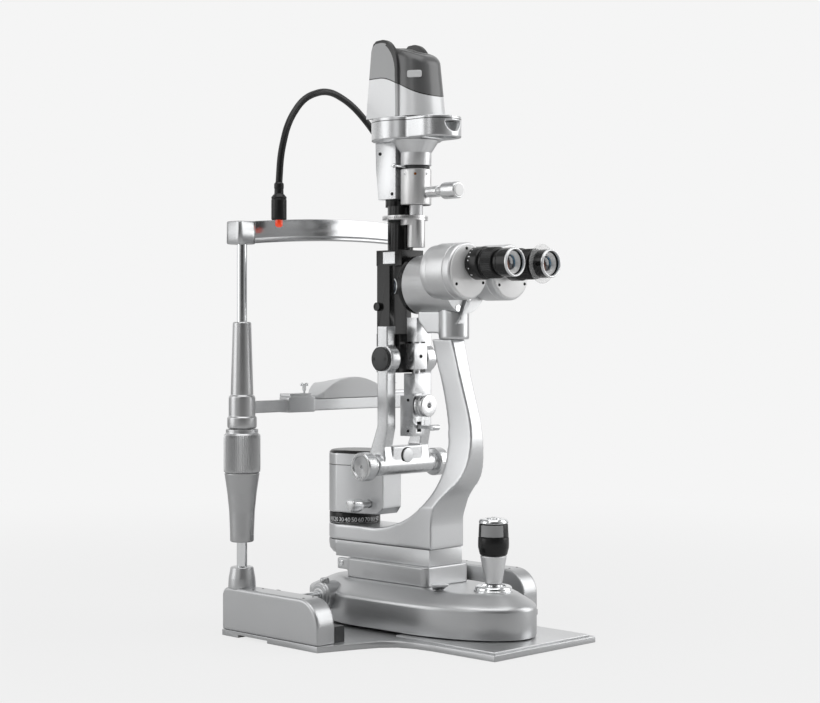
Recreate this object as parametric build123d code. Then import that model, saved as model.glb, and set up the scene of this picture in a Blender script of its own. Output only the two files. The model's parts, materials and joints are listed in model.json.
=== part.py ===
"""Slit lamp: a stereo microscope and a slit illuminator on one swing axis, with a headrest.

Millimetres. +Z is up, the examiner sits at -Y, the patient at +Y, and +X is to the examiner's right.
The origin is on the table plane, directly below the swing axis that both arms share.
"""
import os
from math import radians, tan

from build123d import *

# ---------------------------------------------------------------- driving dimensions
PLATE_T = 7.0            # base plate thickness
PLATE_HALF_W = 182.0     # half width at the rail covers
PLATE_REAR = 29.0        # rear edge, Y
PLATE_FRONT = -304.0     # front edge, Y
FRONT_HALF_W = 84.0      # half width at the front edge
COVER_W = 26.0           # rail cover width
COVER_FRONT = -134.0     # rail cover front end, Y
COVER_TOP = 56.0         # rail cover top, Z
AXLE_Y = -23.0           # cross-slide axle
AXLE_Z = 39.0
AXLE_R = 6.0
WHEEL_R = 14.0
RACK_TOP = AXLE_Z - WHEEL_R - 0.3
HOUSING_BOTTOM = 10.0
HOUSING_RIDGE = 44.0
HOUSING_TOP = 58.0
SHOULDER = 24.0          # how far the shoulder closes in
WALL = 4.0
POST = (-168.0, 10.0)    # headrest post, X and Y
POST_R = 6.0
POST_TOP = 448.0
BAND_H = 26.0
BAND_R = 593.0           # forehead band plan radius
BAND_FRONT = -2.0        # band's examiner side at X = 0
BAR_Z = 261.0            # chinrest crossbar centre height
STICK = (0.0, -226.0, 62.0)   # joystick ball centre
LIFT_Y = -85.0           # lift column axis
PIVOT_R = 12.0           # swing shaft radius
ARM_R = 31.0             # rounded rear of both arms
HEAD_BOTTOM = 80.3
ARM_BOTTOM = 99.3
SCALE_BOTTOM = 118.5
BOX_BOTTOM = 131.5
BOX_TOP = 206.0
SCOPE_Z = 402.0          # objective drum axis height
SCOPE_R = 34.0
SCOPE_FRONT = -106.0     # working distance from the swing axis
SCOPE_REAR = -183.0
PRISM_X = 35.0
PRISM_Z = 415.0
PRISM_R = 31.8
PRISM_REAR = -222.0
EYE_X = 30.0
EYE_Z = 423.4
EYE_END = -286.0
KNOB_Y = -79.0           # slit-width knob axis
KNOB_Z = 192.0
FORK_Y = -85.0           # tilt axis of the tower
FORK_Z = 316.0
CHEEK_OUT = 37.0
CHEEK_IN = 22.5
DRUM_Y = -104.0          # slit drum axis
DIAL_Y = -86.0
LAMP_Y = -88.0
RUN = 0.05               # radial clearance of a running fit
GAP = 0.3                # clearance between faces that pass each other

parts = {}


# ---------------------------------------------------------------- shape helpers
def block(x0, x1, y0, y1, z0, z1):
    """A box between two corners."""
    size = Box(x1 - x0, y1 - y0, z1 - z0)
    return Pos((x0 + x1) / 2, (y0 + y1) / 2, (z0 + z1) / 2) * size


def rod_z(x, y, z0, z1, r):
    """A vertical cylinder."""
    return Pos(x, y, (z0 + z1) / 2) * Cylinder(r, z1 - z0)


def rod_x(x0, x1, y, z, r):
    """A cylinder along X."""
    return Pos((x0 + x1) / 2, y, z) * Rot(0, 90, 0) * Cylinder(r, x1 - x0)


def rod_y(y0, y1, x, z, r):
    """A cylinder along Y."""
    return Pos(x, (y0 + y1) / 2, z) * Rot(90, 0, 0) * Cylinder(r, y1 - y0)


def turned(x, y, outline):
    """An outline of (radius, height) points, closed on the axis, turned about a vertical axis."""
    heights = [z for _, z in outline]
    points = [(0, heights[0]), *outline, (0, heights[-1])]
    face = make_face(Plane.XZ * Polyline(*points, close=True))
    return Pos(x, y, 0) * revolve(face, Axis.Z)


def turned_y(x, z, outline):
    """An outline of (radius, y) points turned about an axis along Y."""
    flat = turned(0, 0, [(r, -y) for r, y in outline])
    return Pos(x, 0, z) * Rot(90, 0, 0) * flat


def along_x(outline, x0, x1):
    """A closed outline drawn in (y, z), extruded from x0 to x1."""
    return extrude(make_face(Plane.YZ.offset(x0) * outline), x1 - x0, dir=(1, 0, 0))


def along_y(outline, y0, y1):
    """A closed outline drawn in (x, z), extruded from y0 to y1."""
    return extrude(make_face(Plane.XZ.offset(-y0) * outline), y1 - y0, dir=(0, 1, 0))


def along_z(outline, z0, z1):
    """A closed outline drawn in (x, y), extruded from z0 to z1."""
    return extrude(make_face(Plane.XY.offset(z0) * outline), z1 - z0, dir=(0, 0, 1))


def side_plate(points, x0, x1):
    """A closed polygon of (y, z) points, extruded from x0 to x1."""
    return along_x(Polyline(*points, close=True), x0, x1)


def plan_plate(points, z0, z1):
    """A closed polygon of (x, y) points, extruded from z0 to z1."""
    return along_z(Polyline(*points, close=True), z0, z1)


def mirrored(points):
    """The points, then their mirror images in X = 0, in reverse order."""
    return points + [(-x, y) for x, y in reversed(points) if x != 0]


def both(shape):
    """The shape and its mirror image in X = 0, as a group of separate solids."""
    return [shape, mirror(shape, Plane.YZ)]


def keep(name, *shapes):
    """Store a node as one solid, or as a group of separate solids."""
    solids = [s for shape in shapes for s in shape.solids()]
    parts[name] = solids[0] if len(solids) == 1 else Compound(children=solids)


# ---------------------------------------------------------------- base plate and rails
def plate_outline():
    """Half of the plate's outline: the side sweeps in from the rail cover to the narrow front."""
    hollow = [(135, -149), (112, -158), (97, -171), (89, -190), (86, -215)]
    return [(PLATE_HALF_W, PLATE_REAR), (PLATE_HALF_W, COVER_FRONT), *hollow, (FRONT_HALF_W, PLATE_FRONT)]


def make_base_plate():
    plate = plan_plate(mirrored(plate_outline()), 0, PLATE_T)
    for side in (-1, 1):
        x0, x1 = sorted((side * (PLATE_HALF_W + 1), side * (PLATE_HALF_W - 12)))
        plate -= block(x0, x1, -50, 0, -1, 3)
    keep("base_plate", plate)
    inset = 5.0
    front = PLATE_FRONT + inset
    half = FRONT_HALF_W - inset
    pad = [(half - 1, -150), (half, -190), (half, front)]
    keep("glide_pad", plan_plate(mirrored(pad), PLATE_T, PLATE_T + 2))


def make_rail_covers():
    inner = PLATE_HALF_W - COVER_W
    blank = block(-PLATE_HALF_W, -inner, COVER_FRONT, PLATE_REAR, PLATE_T, COVER_TOP)
    nose = [e for e in blank.edges().filter_by(Axis.X) if e.center().Y < COVER_FRONT + 1]
    blank = fillet([e for e in nose if e.center().Z > COVER_TOP - 1], 30)
    heel = [e for e in blank.edges().filter_by(Axis.X) if e.center().Y > PLATE_REAR - 1]
    blank = fillet([e for e in heel if e.center().Z > COVER_TOP - 1], 10)
    side_edges = [e for e in blank.edges() if e.center().X < -PLATE_HALF_W + 0.1]
    blank = chamfer([e for e in side_edges if e.center().Z > PLATE_T + 1 and e.center().Y > COVER_FRONT + 0.1
                     and e.center().Y < PLATE_REAR - 0.1], 1.5)
    keep("left_rail_cover", blank)
    keep("right_rail_cover", mirror(blank, Plane.YZ))


def make_rails():
    rack = block(-153, -139, COVER_FRONT + 3, PLATE_REAR - 2, PLATE_T, RACK_TOP)
    pitch = 8.0
    for step in range(18):
        y = COVER_FRONT + 10 + step * pitch
        rack -= block(-154, -151, y, y + 3, RACK_TOP - 2.5, RACK_TOP + 1)
    keep("rail_racks", *both(rack))


# ---------------------------------------------------------------- cross slide
def make_axle():
    shaft = rod_x(-154, 154, AXLE_Y, AXLE_Z, AXLE_R)
    keep("axle", shaft)
    for name, side in (("wheel_left", -1), ("wheel_right", 1)):
        x0, x1 = sorted((side * 152.0, side * 140.0))
        wheel = rod_x(x0, x1, AXLE_Y, AXLE_Z, WHEEL_R) - rod_x(x0 - 1, x1 + 1, AXLE_Y, AXLE_Z, AXLE_R + RUN)
        groove = rod_x(side * 146 - 2, side * 146 + 2, AXLE_Y, AXLE_Z, WHEEL_R + 1)
        wheel -= groove - rod_x(side * 146 - 3, side * 146 + 3, AXLE_Y, AXLE_Z, WHEEL_R - 1.5)
        keep(name, wheel)


def housing_outline(grow):
    """The housing's closed outline: flared rear corners, long sides and a half-elliptic nose."""
    half, nose = 71.0 + grow, 137.0 + grow
    corners = [(45 + grow, 35 + grow), (61 + grow, -8), (74 + grow, -58), (half, -140)]
    left = [(-x, y) for x, y in corners]
    line = Polyline(left[3], left[2], left[1], left[0], corners[0], corners[1], corners[2], corners[3])
    arc = EllipticalCenterArc((0, -140), half, nose, start_angle=180, arc_size=180)
    return Curve([line, arc])


def housing_body(grow, z0, z1):
    """Straight sides up to the ridge, then a shoulder that closes in to the flat top."""
    ridge = make_face(Plane.XY.offset(HOUSING_RIDGE) * housing_outline(grow))
    top = make_face(Plane.XY.offset(z1) * housing_outline(grow - SHOULDER))
    return along_z(housing_outline(grow), z0, HOUSING_RIDGE) + loft([ridge, top])


def make_base_housing():
    outer = housing_body(0, HOUSING_BOTTOM, HOUSING_TOP)
    inner = housing_body(-WALL, HOUSING_BOTTOM - 1, HOUSING_TOP - WALL)
    shell = outer - inner
    shell -= rod_x(-90, 90, AXLE_Y, AXLE_Z, AXLE_R + 1)
    shell -= rod_z(0, LIFT_Y, 40, 70, 17)
    shell -= rod_z(STICK[0], STICK[1], 40, 70, 11)
    keep("base_housing", shell)
    cover = rod_x(-80, -56, AXLE_Y, AXLE_Z, 16.7) - outer
    cover -= rod_x(-90, -40, AXLE_Y, AXLE_Z, AXLE_R + RUN)
    cover = max(cover.solids(), key=lambda s: s.volume)
    screw = rod_z(-74, AXLE_Y - 2, AXLE_Z + 12, 60, 5.2) - rod_x(-90, -40, AXLE_Y, AXLE_Z, 16.7)
    keep("bearing_covers", *both(cover), screw)
    flange = block(-37, 37, -155, -22, HOUSING_TOP, 80)
    flange = fillet(flange.edges().filter_by(Axis.Z), 8)
    lug = block(-36, -29, -34, -8, 66, 79) - rod_x(-40, -20, -14, 73, 2.6)
    flange = flange + lug
    keep("pedestal", flange - rod_z(0, LIFT_Y, 50, 90, 16 + RUN))
    ring = turned(STICK[0], STICK[1], [(22, HOUSING_TOP), (22, 61), (19, 64.5), (15.5, 64.5), (13.5, 62), (13.5, HOUSING_TOP)])
    keep("joystick_socket", ring - rod_z(STICK[0], STICK[1], 50, 70, 13))


def make_base_lock():
    x, y, z = -33.0, -178.0, HOUSING_TOP
    stem = rod_z(x, y, z + GAP, z + 3, 5)
    cap = plan_plate([(x + 8, y), (x + 3, y + 9), (x - 16, y + 4), (x - 16, y - 8), (x + 2, y - 10)], z + 3, z + 7)
    cap = fillet(cap.edges().filter_by(Axis.Z), 3)
    keep("base_lock_lever", stem + cap)


# ---------------------------------------------------------------- joystick
def make_joystick():
    x, y, z = STICK
    ball = Pos(x, y, z) * Sphere(8)
    keep("joystick_ball", ball)
    cone = turned(x, y, [(9.5, 66), (10, 70), (14.8, 98)])
    neck = turned(x, y, [(7, 98), (7, 104)])
    cone = cone + neck - Pos(x, y, z) * Sphere(8 + RUN)
    keep("joystick_cone", cone)
    grip = turned(x, y, [(15.2, 98.3), (17.3, 107), (17.2, 118), (16.2, 133), (16.4, 134), (16.0, 136.5), (14.5, 139)])
    grip -= rod_z(x, y, 90, 104.3, 7 + RUN)
    grip -= rod_z(x, y, 134, 140, 8)
    keep("joystick_grip", grip)
    keep("joystick_button", turned(x, y, [(7.6, 136), (7.6, 139), (6.4, 140.4)]))


# ---------------------------------------------------------------- headrest
def band_plan(outer, thickness, x0, x1, z0, z1):
    """A strip of the band's plan arc, between two X positions."""
    centre_y = BAND_FRONT + BAND_R
    ring = rod_z(0, centre_y, z0, z1, outer) - rod_z(0, centre_y, z0 - 1, z1 + 1, outer - thickness)
    return ring & block(x0, x1, BAND_FRONT - 5, 60, z0, z1)


def arch(z_end, z_middle, height, x0, x1):
    """A strip between two equal arcs, higher in the middle, seen along Y."""
    low = ThreePointArc((-165, z_end), (0, z_middle), (165, z_end))
    high = ThreePointArc((165, z_end + height), (0, z_middle + height), (-165, z_end + height))
    sides = [Line((165, z_end), (165, z_end + height)), Line((-165, z_end + height), (-165, z_end))]
    strip = along_y(Curve([low, high, *sides]), -80, 80)
    return strip & block(x0, x1, -80, 80, z_end - 30, z_end + height + 40)


def make_headrest():
    x, y = POST
    keep("post_socket", turned(x, y, [(15.6, COVER_TOP), (15.2, 66), (12.8, 79)]) - rod_z(x, y, 50, 90, POST_R))
    keep("headrest_post", rod_z(x, y, COVER_TOP, POST_TOP, POST_R))
    bracket = block(-182, -156, -2, 24, POST_TOP, POST_TOP + BAND_H)
    bracket = fillet(bracket.edges().filter_by(Axis.Z), 4)
    strip = band_plan(BAND_R, 5, -158, 112, 430, 500)
    strip = strip & arch(POST_TOP, POST_TOP + 8, BAND_H, -158, 112)
    keep("forehead_band", bracket + strip)
    pad = band_plan(BAND_R - 5, 4, -120, 90, 430, 500)
    keep("forehead_pad", pad & arch(POST_TOP + 3, POST_TOP + 11, BAND_H - 6, -120, 90))
    outside = band_plan(BAND_R + 20, 25, 90, 120, 440, 500)
    keep("fixation_mount", block(96, 114, 8, 38, 456, 478) - outside)


def make_chinrest():
    x, y = POST
    bore = rod_z(x, y, 60, 440, POST_R + RUN)
    grip = [(13.3, 107.5), (13.5, 118), (14.4, 142), (16.6, 163), (19.8, 184), (20.8, 187),
            (20.8, 230), (18.5, 232), (18.5, 236.5)]
    keep("height_grip", turned(x, y, grip) - bore)
    sleeve = [(15.5, 237), (16.8, 238.5), (16.8, 249.5), (15.5, 251), (15.2, 252), (15.2, 274),
              (12.9, 275), (12.9, 277), (10.5, 358), (9.5, 359)]
    keep("chin_sleeve", turned(x, y, sleeve) - bore)
    bar = block(-160, 104, y - 6, y + 6, BAR_Z - 7, BAR_Z + 7) - rod_z(x, y, 200, 300, 15.2)
    for side in (-1, 1):
        x0, x1 = sorted((side * 64.0, side * 104.0))
        bar += block(x0, x1, y - 9, y + 9, BAR_Z - 8, BAR_Z + 10)
        bar += block(x0 + 3, x1 - 3, y - 7, y + 12, BAR_Z + 10, BAR_Z + 14)
        bar -= rod_z(side * 73.0, y, BAR_Z - 2, BAR_Z + 20, 1.2 + RUN)
    keep("chin_crossbar", bar)
    low = BAR_Z + 7
    dome = ThreePointArc((-56, low + 4), (0, low + 25), (56, low + 4))
    foot = Polyline((56, low + 4), (56, low), (-56, low), (-56, low + 4))
    front_view = along_y(Curve([dome, foot]), 0, 44)
    plan = extrude(Pos(0, 14, low) * Ellipse(58, 28), 40, dir=(0, 0, 1))
    cup = (front_view & plan) - Pos(0, 50, low + 66) * Sphere(60)
    keep("chin_cup", cup)
    for name, side in (("paper_pin_left", -1), ("paper_pin_right", 1)):
        pin = turned(side * 73.0, y, [(1.2, BAR_Z - 1), (1.2, BAR_Z + 16), (2.2, BAR_Z + 18), (2.2, BAR_Z + 22),
                                      (4.8, BAR_Z + 22.5), (4.8, BAR_Z + 25.5), (3.8, BAR_Z + 26.5)])
        keep(name, pin)


def gooseneck_path():
    """The arm's route from the mount up and over to the lamp; each bend is as large as its runs allow."""
    route = [(105, 28, 478.8), (101, 27, 520), (82, 24, 562), (46, 17, 597), (2, 9, 624), (-44, 1, 636),
             (-88, -6, 622), (-117, -11, 590), (-130, -13.5, 552), (-133, -14, 519)]
    points = [Vector(*p) for p in route]
    radii = []
    for before, at, after in zip(points, points[1:], points[2:]):
        one, two = at - before, after - at
        turn = radians(one.get_angle(two))
        radii.append(0.45 * min(one.length, two.length) / tan(turn / 2))
    return FilletPolyline(*points, radius=radii)


def make_fixation_lamp():
    path = gooseneck_path()
    start = Plane(origin=path @ 0, z_dir=path % 0)
    keep("gooseneck", sweep(start * Circle(4), path=path))
    x, y = -133.0, -14.0
    body = turned(x, y, [(5.5, 476), (8.9, 477), (8.9, 502), (6.5, 505), (4.7, 506), (4.7, 518.7), (4.2, 519)])
    keep("fixation_lamp", body)
    keep("fixation_lens", turned(x, y, [(2.6, 468), (4.3, 469.5), (4.3, 476)]))


# ---------------------------------------------------------------- lift column and swing shaft
def arm_plan(front, half):
    """The plan of an arm's foot: round at the swing axis and straight to its front face."""
    rear = ThreePointArc((ARM_R, 0), (0, ARM_R), (-ARM_R, 0))
    rest = Polyline((-ARM_R, 0), (-half, front), (half, front), (ARM_R, 0))
    return Curve([rear, rest])


def make_column():
    heel = turned(0, 0, [(18, HEAD_BOTTOM), (26, 83), (30, 88), (ARM_R, 94), (ARM_R, ARM_BOTTOM - GAP)])
    head = along_z(arm_plan(-152, 27), HEAD_BOTTOM, ARM_BOTTOM - GAP) - block(-40, 40, 0, 40, 70, 110)
    head += heel & block(-40, 40, -1, 40, 70, 110)
    head += rod_z(0, LIFT_Y, 22, HEAD_BOTTOM + 1, 16)
    keep("column_head", head)
    keep("pivot_shaft", rod_z(0, 0, ARM_BOTTOM - GAP, BOX_TOP - 6, PIVOT_R))


# ---------------------------------------------------------------- microscope
def arm_side():
    """The arm's side view: a foot, a curved throat and a back that sweeps out and up."""
    throat = Spline((-62, SCALE_BOTTOM - GAP), (-108, 129), (-143, 153), (-160, 184), (-165, 215), (-163, 248),
                    (-152, 296), (-140, 339), tangents=((-1, 0.06), (0.25, 1)))
    back = Spline((-172, 339), (-190, 276), (-200, 240), (-201, 212), (-193, 184), (-171, 162), (-157, 142), (-154, 126),
                  tangents=((-0.25, -1), (0.02, -1)))
    foot = Polyline((-154, 126), (-154, ARM_BOTTOM), (ARM_R + 1, ARM_BOTTOM),
                    (ARM_R + 1, SCALE_BOTTOM - GAP), (-62, SCALE_BOTTOM - GAP))
    top = Line((-140, 339), (-172, 339))
    return Curve([throat, top, back, foot])


def arm_front():
    """The arm's front view: wide at the foot, slim through the throat, wider again at the head."""
    right = Spline((32, 128), (27, 150), (16.5, 184), (11, 220), (9.5, 256), (10, 300), (12, 345),
                   tangents=((0, 1), (0.1, 1)))
    left = mirror(right, Plane.YZ)
    low = Polyline((-32, 128), (-32, ARM_BOTTOM - 1), (32, ARM_BOTTOM - 1), (32, 128))
    top = Line((12, 345), (-12, 345))
    return Curve([right, top, left, low])


def make_microscope_arm():
    side = along_x(arm_side(), -40, 40)
    front = along_y(arm_front(), -240, 60)
    plan = along_z(arm_plan(-230, 26), ARM_BOTTOM, 400)
    arm = side & front & plan
    arm -= rod_z(0, 0, 90, 140, PIVOT_R + RUN)
    keep("microscope_arm", arm)
    ring = rod_z(0, 0, SCALE_BOTTOM - GAP, BOX_BOTTOM - GAP, ARM_R)
    keep("angle_scale_ring", ring - rod_z(0, 0, 100, 150, PIVOT_R + RUN))


def make_microscope():
    drum_space = rod_y(SCOPE_REAR, SCOPE_FRONT, 0, SCOPE_Z, SCOPE_R)
    hub = turned(0, -165, [(16.5, 339), (17.5, 341), (17.5, 376), (16, 378)])
    cradle = block(-15, 15, -172, -122, 346, 380)
    cradle = chamfer([e for e in cradle.edges().filter_by(Axis.X) if e.center().Z < 347 and e.center().Y > -123], 14)
    keep("microscope_bracket", (hub + cradle) - drum_space)
    rear_plate = [rod_y(SCOPE_REAR, SCOPE_REAR + 9, s * PRISM_X, PRISM_Z, 30) for s in (-1, 1)]
    drum = rod_y(SCOPE_REAR, SCOPE_FRONT - 8, 0, SCOPE_Z, SCOPE_R) + rear_plate[0] + rear_plate[1]
    drum += block(-PRISM_X, PRISM_X, SCOPE_REAR, SCOPE_REAR + 9, PRISM_Z - 24, PRISM_Z + 24)
    keep("microscope_drum", drum - (hub - drum_space))
    bezel = turned_y(0, SCOPE_Z, [(33, SCOPE_FRONT), (34, SCOPE_FRONT - 1), (34, SCOPE_FRONT - 8)])
    bezel -= rod_y(SCOPE_FRONT - 6, SCOPE_FRONT + 2, -14, SCOPE_Z, 11)
    bezel -= rod_y(SCOPE_FRONT - 6, SCOPE_FRONT + 2, 14, SCOPE_Z, 11)
    keep("objective_bezel", bezel)
    blade = along_y(Polyline((-1, 386), (6, 386), (-4, 362), (-3, 357), (-16, 357), (-11, 363), close=True),
                    SCOPE_REAR - 3.5, SCOPE_REAR - GAP)
    keep("magnification_lever", blade + rod_y(SCOPE_REAR - 4.5, SCOPE_REAR - GAP, 2, 386, 5))


def make_eyepieces():
    for name, side in (("left", -1), ("right", 1)):
        x = side * PRISM_X
        shell = turned_y(x, PRISM_Z, [(PRISM_R - 1.2, SCOPE_REAR - GAP), (PRISM_R, SCOPE_REAR - 1.5),
                                      (PRISM_R, PRISM_REAR + 3), (PRISM_R - 2.5, PRISM_REAR)])
        keep(name + "_prism_housing", shell)
        outline = [(14, PRISM_REAR - GAP), (14, -227), (18.2, -228), (18.2, -243), (15.6, -244), (15.6, -247),
                   (17.2, -248), (17.2, -263), (14.8, -264), (14.8, -269), (15.8, -270), (15.8, EYE_END)]
        tube = turned_y(side * EYE_X, EYE_Z, outline)
        tube -= turned_y(side * EYE_X, EYE_Z, [(9.5, -277), (12.5, EYE_END + 1), (12.5, EYE_END - 1)])
        keep(name + "_eyepiece", tube)


# ---------------------------------------------------------------- illumination arm
def make_illumination_arm():
    box = along_z(arm_plan(-64, 15), BOX_BOTTOM, BOX_TOP)
    box = chamfer([e for e in box.edges().filter_by(Axis.X) if e.center().Z < BOX_BOTTOM + 1], 8)
    top = box.faces().sort_by(Axis.Z)[-1]
    box = fillet([e for e in top.edges() if e.geom_type == GeomType.CIRCLE], 5)
    box -= rod_z(0, 0, 120, BOX_TOP - 6 + GAP, PIVOT_R + RUN)
    box -= rod_x(-30, -12, -44, 144, 4.5)
    keep("illumination_housing", box)
    outline = [(-70, 190), (-64, 206), (-68, 216), (-77, 238), (-77, 354), (-93, 354), (-93, 236), (-88, 214), (-91, 192)]
    cheek = side_plate(outline, -CHEEK_OUT, -CHEEK_IN) + rod_x(-CHEEK_OUT, -CHEEK_IN, FORK_Y, FORK_Z, 17)
    fork = cheek + mirror(cheek, Plane.YZ)
    fork += rod_x(-CHEEK_OUT - 8, CHEEK_OUT + 8, KNOB_Y, KNOB_Z, 12)
    fork += block(-15, 15, KNOB_Y, -64, 182, BOX_TOP)
    fork += block(-CHEEK_IN - 1, CHEEK_IN + 1, -90, -70, 192, 214)
    fork -= rod_x(-60, 60, FORK_Y, FORK_Z, 8 + RUN)
    fork -= rod_x(-60, 60, KNOB_Y, KNOB_Z, 5 + RUN)
    keep("illumination_fork", fork)
    shaft = rod_x(-60, 60, KNOB_Y, KNOB_Z, 5)
    for side in (-1, 1):
        neck = sorted((side * 45.3, side * 53.0))
        head = sorted((side * 52.0, side * 66.5))
        face = sorted((side * 64.0, side * 68.0))
        shaft += rod_x(*neck, KNOB_Y, KNOB_Z, 10.5)
        shaft += rod_x(*head, KNOB_Y, KNOB_Z, 16.4)
        shaft -= rod_x(*face, KNOB_Y, KNOB_Z, 12)
    keep("slit_knobs", shaft)
    clamp = rod_x(-50, -32, -44, 144, 7.2) + rod_x(-33, -14, -44, 144, 4.5 - RUN)
    keep("swing_clamp_knob", clamp)


# ---------------------------------------------------------------- tower
def make_tower():
    columns = block(-21.5, 21.5, -98, -60, 300, 345)
    columns = columns + rod_x(-CHEEK_OUT - 3, CHEEK_OUT + 3, FORK_Y, FORK_Z, 8)
    for side in (-1, 1):
        cap = sorted((side * (CHEEK_OUT + GAP), side * (CHEEK_OUT + 3.5)))
        slab = sorted((side * 10.0, side * 18.0))
        pip = sorted((side * 18.0, side * 22.0))
        columns += rod_x(*cap, FORK_Y, FORK_Z, 14)
        columns += block(*slab, -78, -57, 344, 426)
        columns += rod_x(*pip, -60, 377, 5)
    columns += block(-18, 18, -98, -56, 425, 443)
    columns += rod_z(0, -78, 443, 494.7, 15) - rod_z(0, DRUM_Y, 480, 500, 8.3)
    columns += rod_z(0, -70, 494, 503, 12)
    keep("tower_columns", columns)
    tail = block(-9, 9, -114, -98, 336, 364) + block(-10, 10, -112, -98, 304, 334)
    tail += rod_z(0, -104, 298, 305, 5) + rod_z(0, -104, 330, 340, 6)
    tail += block(-10, 10, -112, -94, 276, 299)
    tail += block(-8, 8, -106, -92, 272, 277)
    tail += block(-10, 10, -109, -88, 226, 273)
    tail -= rod_x(-20, 20, -105, FORK_Z, 3)
    tail -= rod_y(-115, -98, 0, 262, 5)
    tail -= block(-3.5, 3.5, -112, -98, 231, 243)
    keep("tower_tail", tail)
    prism = side_plate([(-60, 392), (-76, 392), (-76, 410)], -9.5, 9.5)
    keep("mirror_head", prism)
    knob = rod_y(-112, -99, 0, 262, 5 - RUN) + turned_y(0, 262, [(13, -110.2), (13, -124.5), (12, -125.5)])
    keep("centring_knob", knob - rod_y(-127, -122.5, 0, 262, 3))
    latch = rod_x(-3, 3, -104, 237, 4) + block(-3, 3, -134, -104, 235, 239) + rod_x(-6, 6, -134, 237, 3.4)
    keep("tilt_latch", latch)


def make_slit_head():
    dial = rod_z(0, DIAL_Y, 478, 483, 26.8)
    tube = rod_z(0, DRUM_Y, 446, 478, 10.5) - rod_z(0, -78, 440, 480, 15)
    step = rod_z(0, -98, 472, 478, 14)
    keep("slit_dial", dial + tube + step - rod_z(0, -78, 440, 490, 15))
    core = rod_z(0, DRUM_Y, 483, 545, 8)
    neck = turned(0, DRUM_Y, [(18, 541), (18, 556), (27, 570)])
    keep("lamp_neck", neck + core)
    drum = turned(0, DRUM_Y, [(17, 495), (18, 496), (18, 536), (17, 537)])
    drum -= rod_z(0, DRUM_Y, 470, 550, 8 + RUN)
    drum -= rod_z(0, -70, 490, 504, 12.4)
    drum -= rod_y(-124, -114, 0, 509.5, 4)
    keep("slit_drum", drum)
    knob = rod_y(-150, -115, 0, 509.5, 4 - RUN) + rod_y(-146, -132, 0, 509.5, 6.5)
    knob += turned_y(0, 509.5, [(8.2, -149), (9.6, -151), (9.6, -172), (8.6, -174)])
    keep("aperture_knob", knob)
    lever = rod_z(0, DRUM_Y, 537.3, 540.7, 16) - rod_z(0, DRUM_Y, 530, 545, 8 + RUN)
    lever += rod_x(-36, -14, DRUM_Y, 539, 1.3) + Pos(-36, DRUM_Y, 539) * Sphere(2.8)
    keep("filter_lever", lever)


def make_lamp():
    case = side_plate([(-55, 503), (-51, 540), (-50, 570), (-84, 570), (-84, 503)], -14, 14)
    keep("filter_box", case - rod_z(0, DRUM_Y, 480, 571, 18.6) - turned(0, DRUM_Y, [(18.3, 540), (18.3, 556), (27.4, 570.1)]))
    ring = rod_z(0, LAMP_Y, 570, 596, 41) + rod_z(0, -137, 571, 595, 29)
    ring += block(-29, 29, -137, -100, 571, 595)
    loop = rod_z(0, -141, 560, 600, 20) & block(-20, 20, -165, -130, 560, 600)
    window = rod_y(-170, -150, 0, 589, 12) & block(-14, 14, -170, -150, 560, 589)
    keep("lamp_ring", ring - loop - window)
    side = [(-56, 596.3), (-62, 682), (-74, 688), (-90, 684), (-106, 672), (-124, 664),
            (-132, 656), (-139, 596.3)]
    wedge = Polyline((-32, 596.3), (-27, 690), (27, 690), (32, 596.3), close=True)
    body = side_plate(side, -40, 40) & along_y(wedge, -160, -40)
    walls = Polyline((-32, -108), (-32, -56), (32, -56), (32, -108))
    plan = along_z(Curve([walls, ThreePointArc((32, -108), (0, -139), (-32, -108))]), 590, 700)
    keep("lamp_housing", body & plan)


def main():
    make_base_plate()
    make_rail_covers()
    make_rails()
    make_axle()
    make_base_housing()
    make_base_lock()
    make_joystick()
    make_headrest()
    make_chinrest()
    make_fixation_lamp()
    make_column()
    make_microscope_arm()
    make_microscope()
    make_eyepieces()
    make_illumination_arm()
    make_tower()
    make_slit_head()
    make_lamp()
    os.makedirs("parts", exist_ok=True)
    for name, shape in parts.items():
        export_step(shape, f"parts/{name}.step")


main()
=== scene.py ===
"""Slit lamp looks: finishes, knurls, lenses, screws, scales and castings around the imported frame.

Metres. +Z is up, the examiner sits at -Y, and the swing axis of both arms is the Z axis.
"""
import json
import math

import bmesh
import bpy
import numpy as np
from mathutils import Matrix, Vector


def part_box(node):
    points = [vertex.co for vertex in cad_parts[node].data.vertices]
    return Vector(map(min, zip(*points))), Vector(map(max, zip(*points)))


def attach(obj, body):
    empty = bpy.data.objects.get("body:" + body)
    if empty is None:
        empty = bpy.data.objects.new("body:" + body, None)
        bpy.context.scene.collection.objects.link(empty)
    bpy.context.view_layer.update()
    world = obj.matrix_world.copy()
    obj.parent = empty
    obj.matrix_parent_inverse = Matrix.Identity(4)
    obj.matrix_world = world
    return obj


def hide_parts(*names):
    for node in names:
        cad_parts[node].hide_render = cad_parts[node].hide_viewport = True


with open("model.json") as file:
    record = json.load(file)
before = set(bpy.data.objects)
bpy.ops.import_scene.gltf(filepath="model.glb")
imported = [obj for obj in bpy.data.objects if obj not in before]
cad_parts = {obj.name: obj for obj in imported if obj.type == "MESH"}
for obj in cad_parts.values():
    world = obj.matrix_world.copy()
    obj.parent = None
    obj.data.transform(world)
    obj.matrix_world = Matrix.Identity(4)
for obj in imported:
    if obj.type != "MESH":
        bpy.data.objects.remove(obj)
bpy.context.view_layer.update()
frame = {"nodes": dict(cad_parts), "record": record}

bl_info = {
    "name": "Slit lamp looks",
    "version": (1, 0, 0),
    "blender": (4, 5, 0),
    "location": "View3D > Sidebar > Slit lamp",
    "description": "Builds the finished surfaces of a slit lamp around its packed frame",
    "category": "Object",
}

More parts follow.
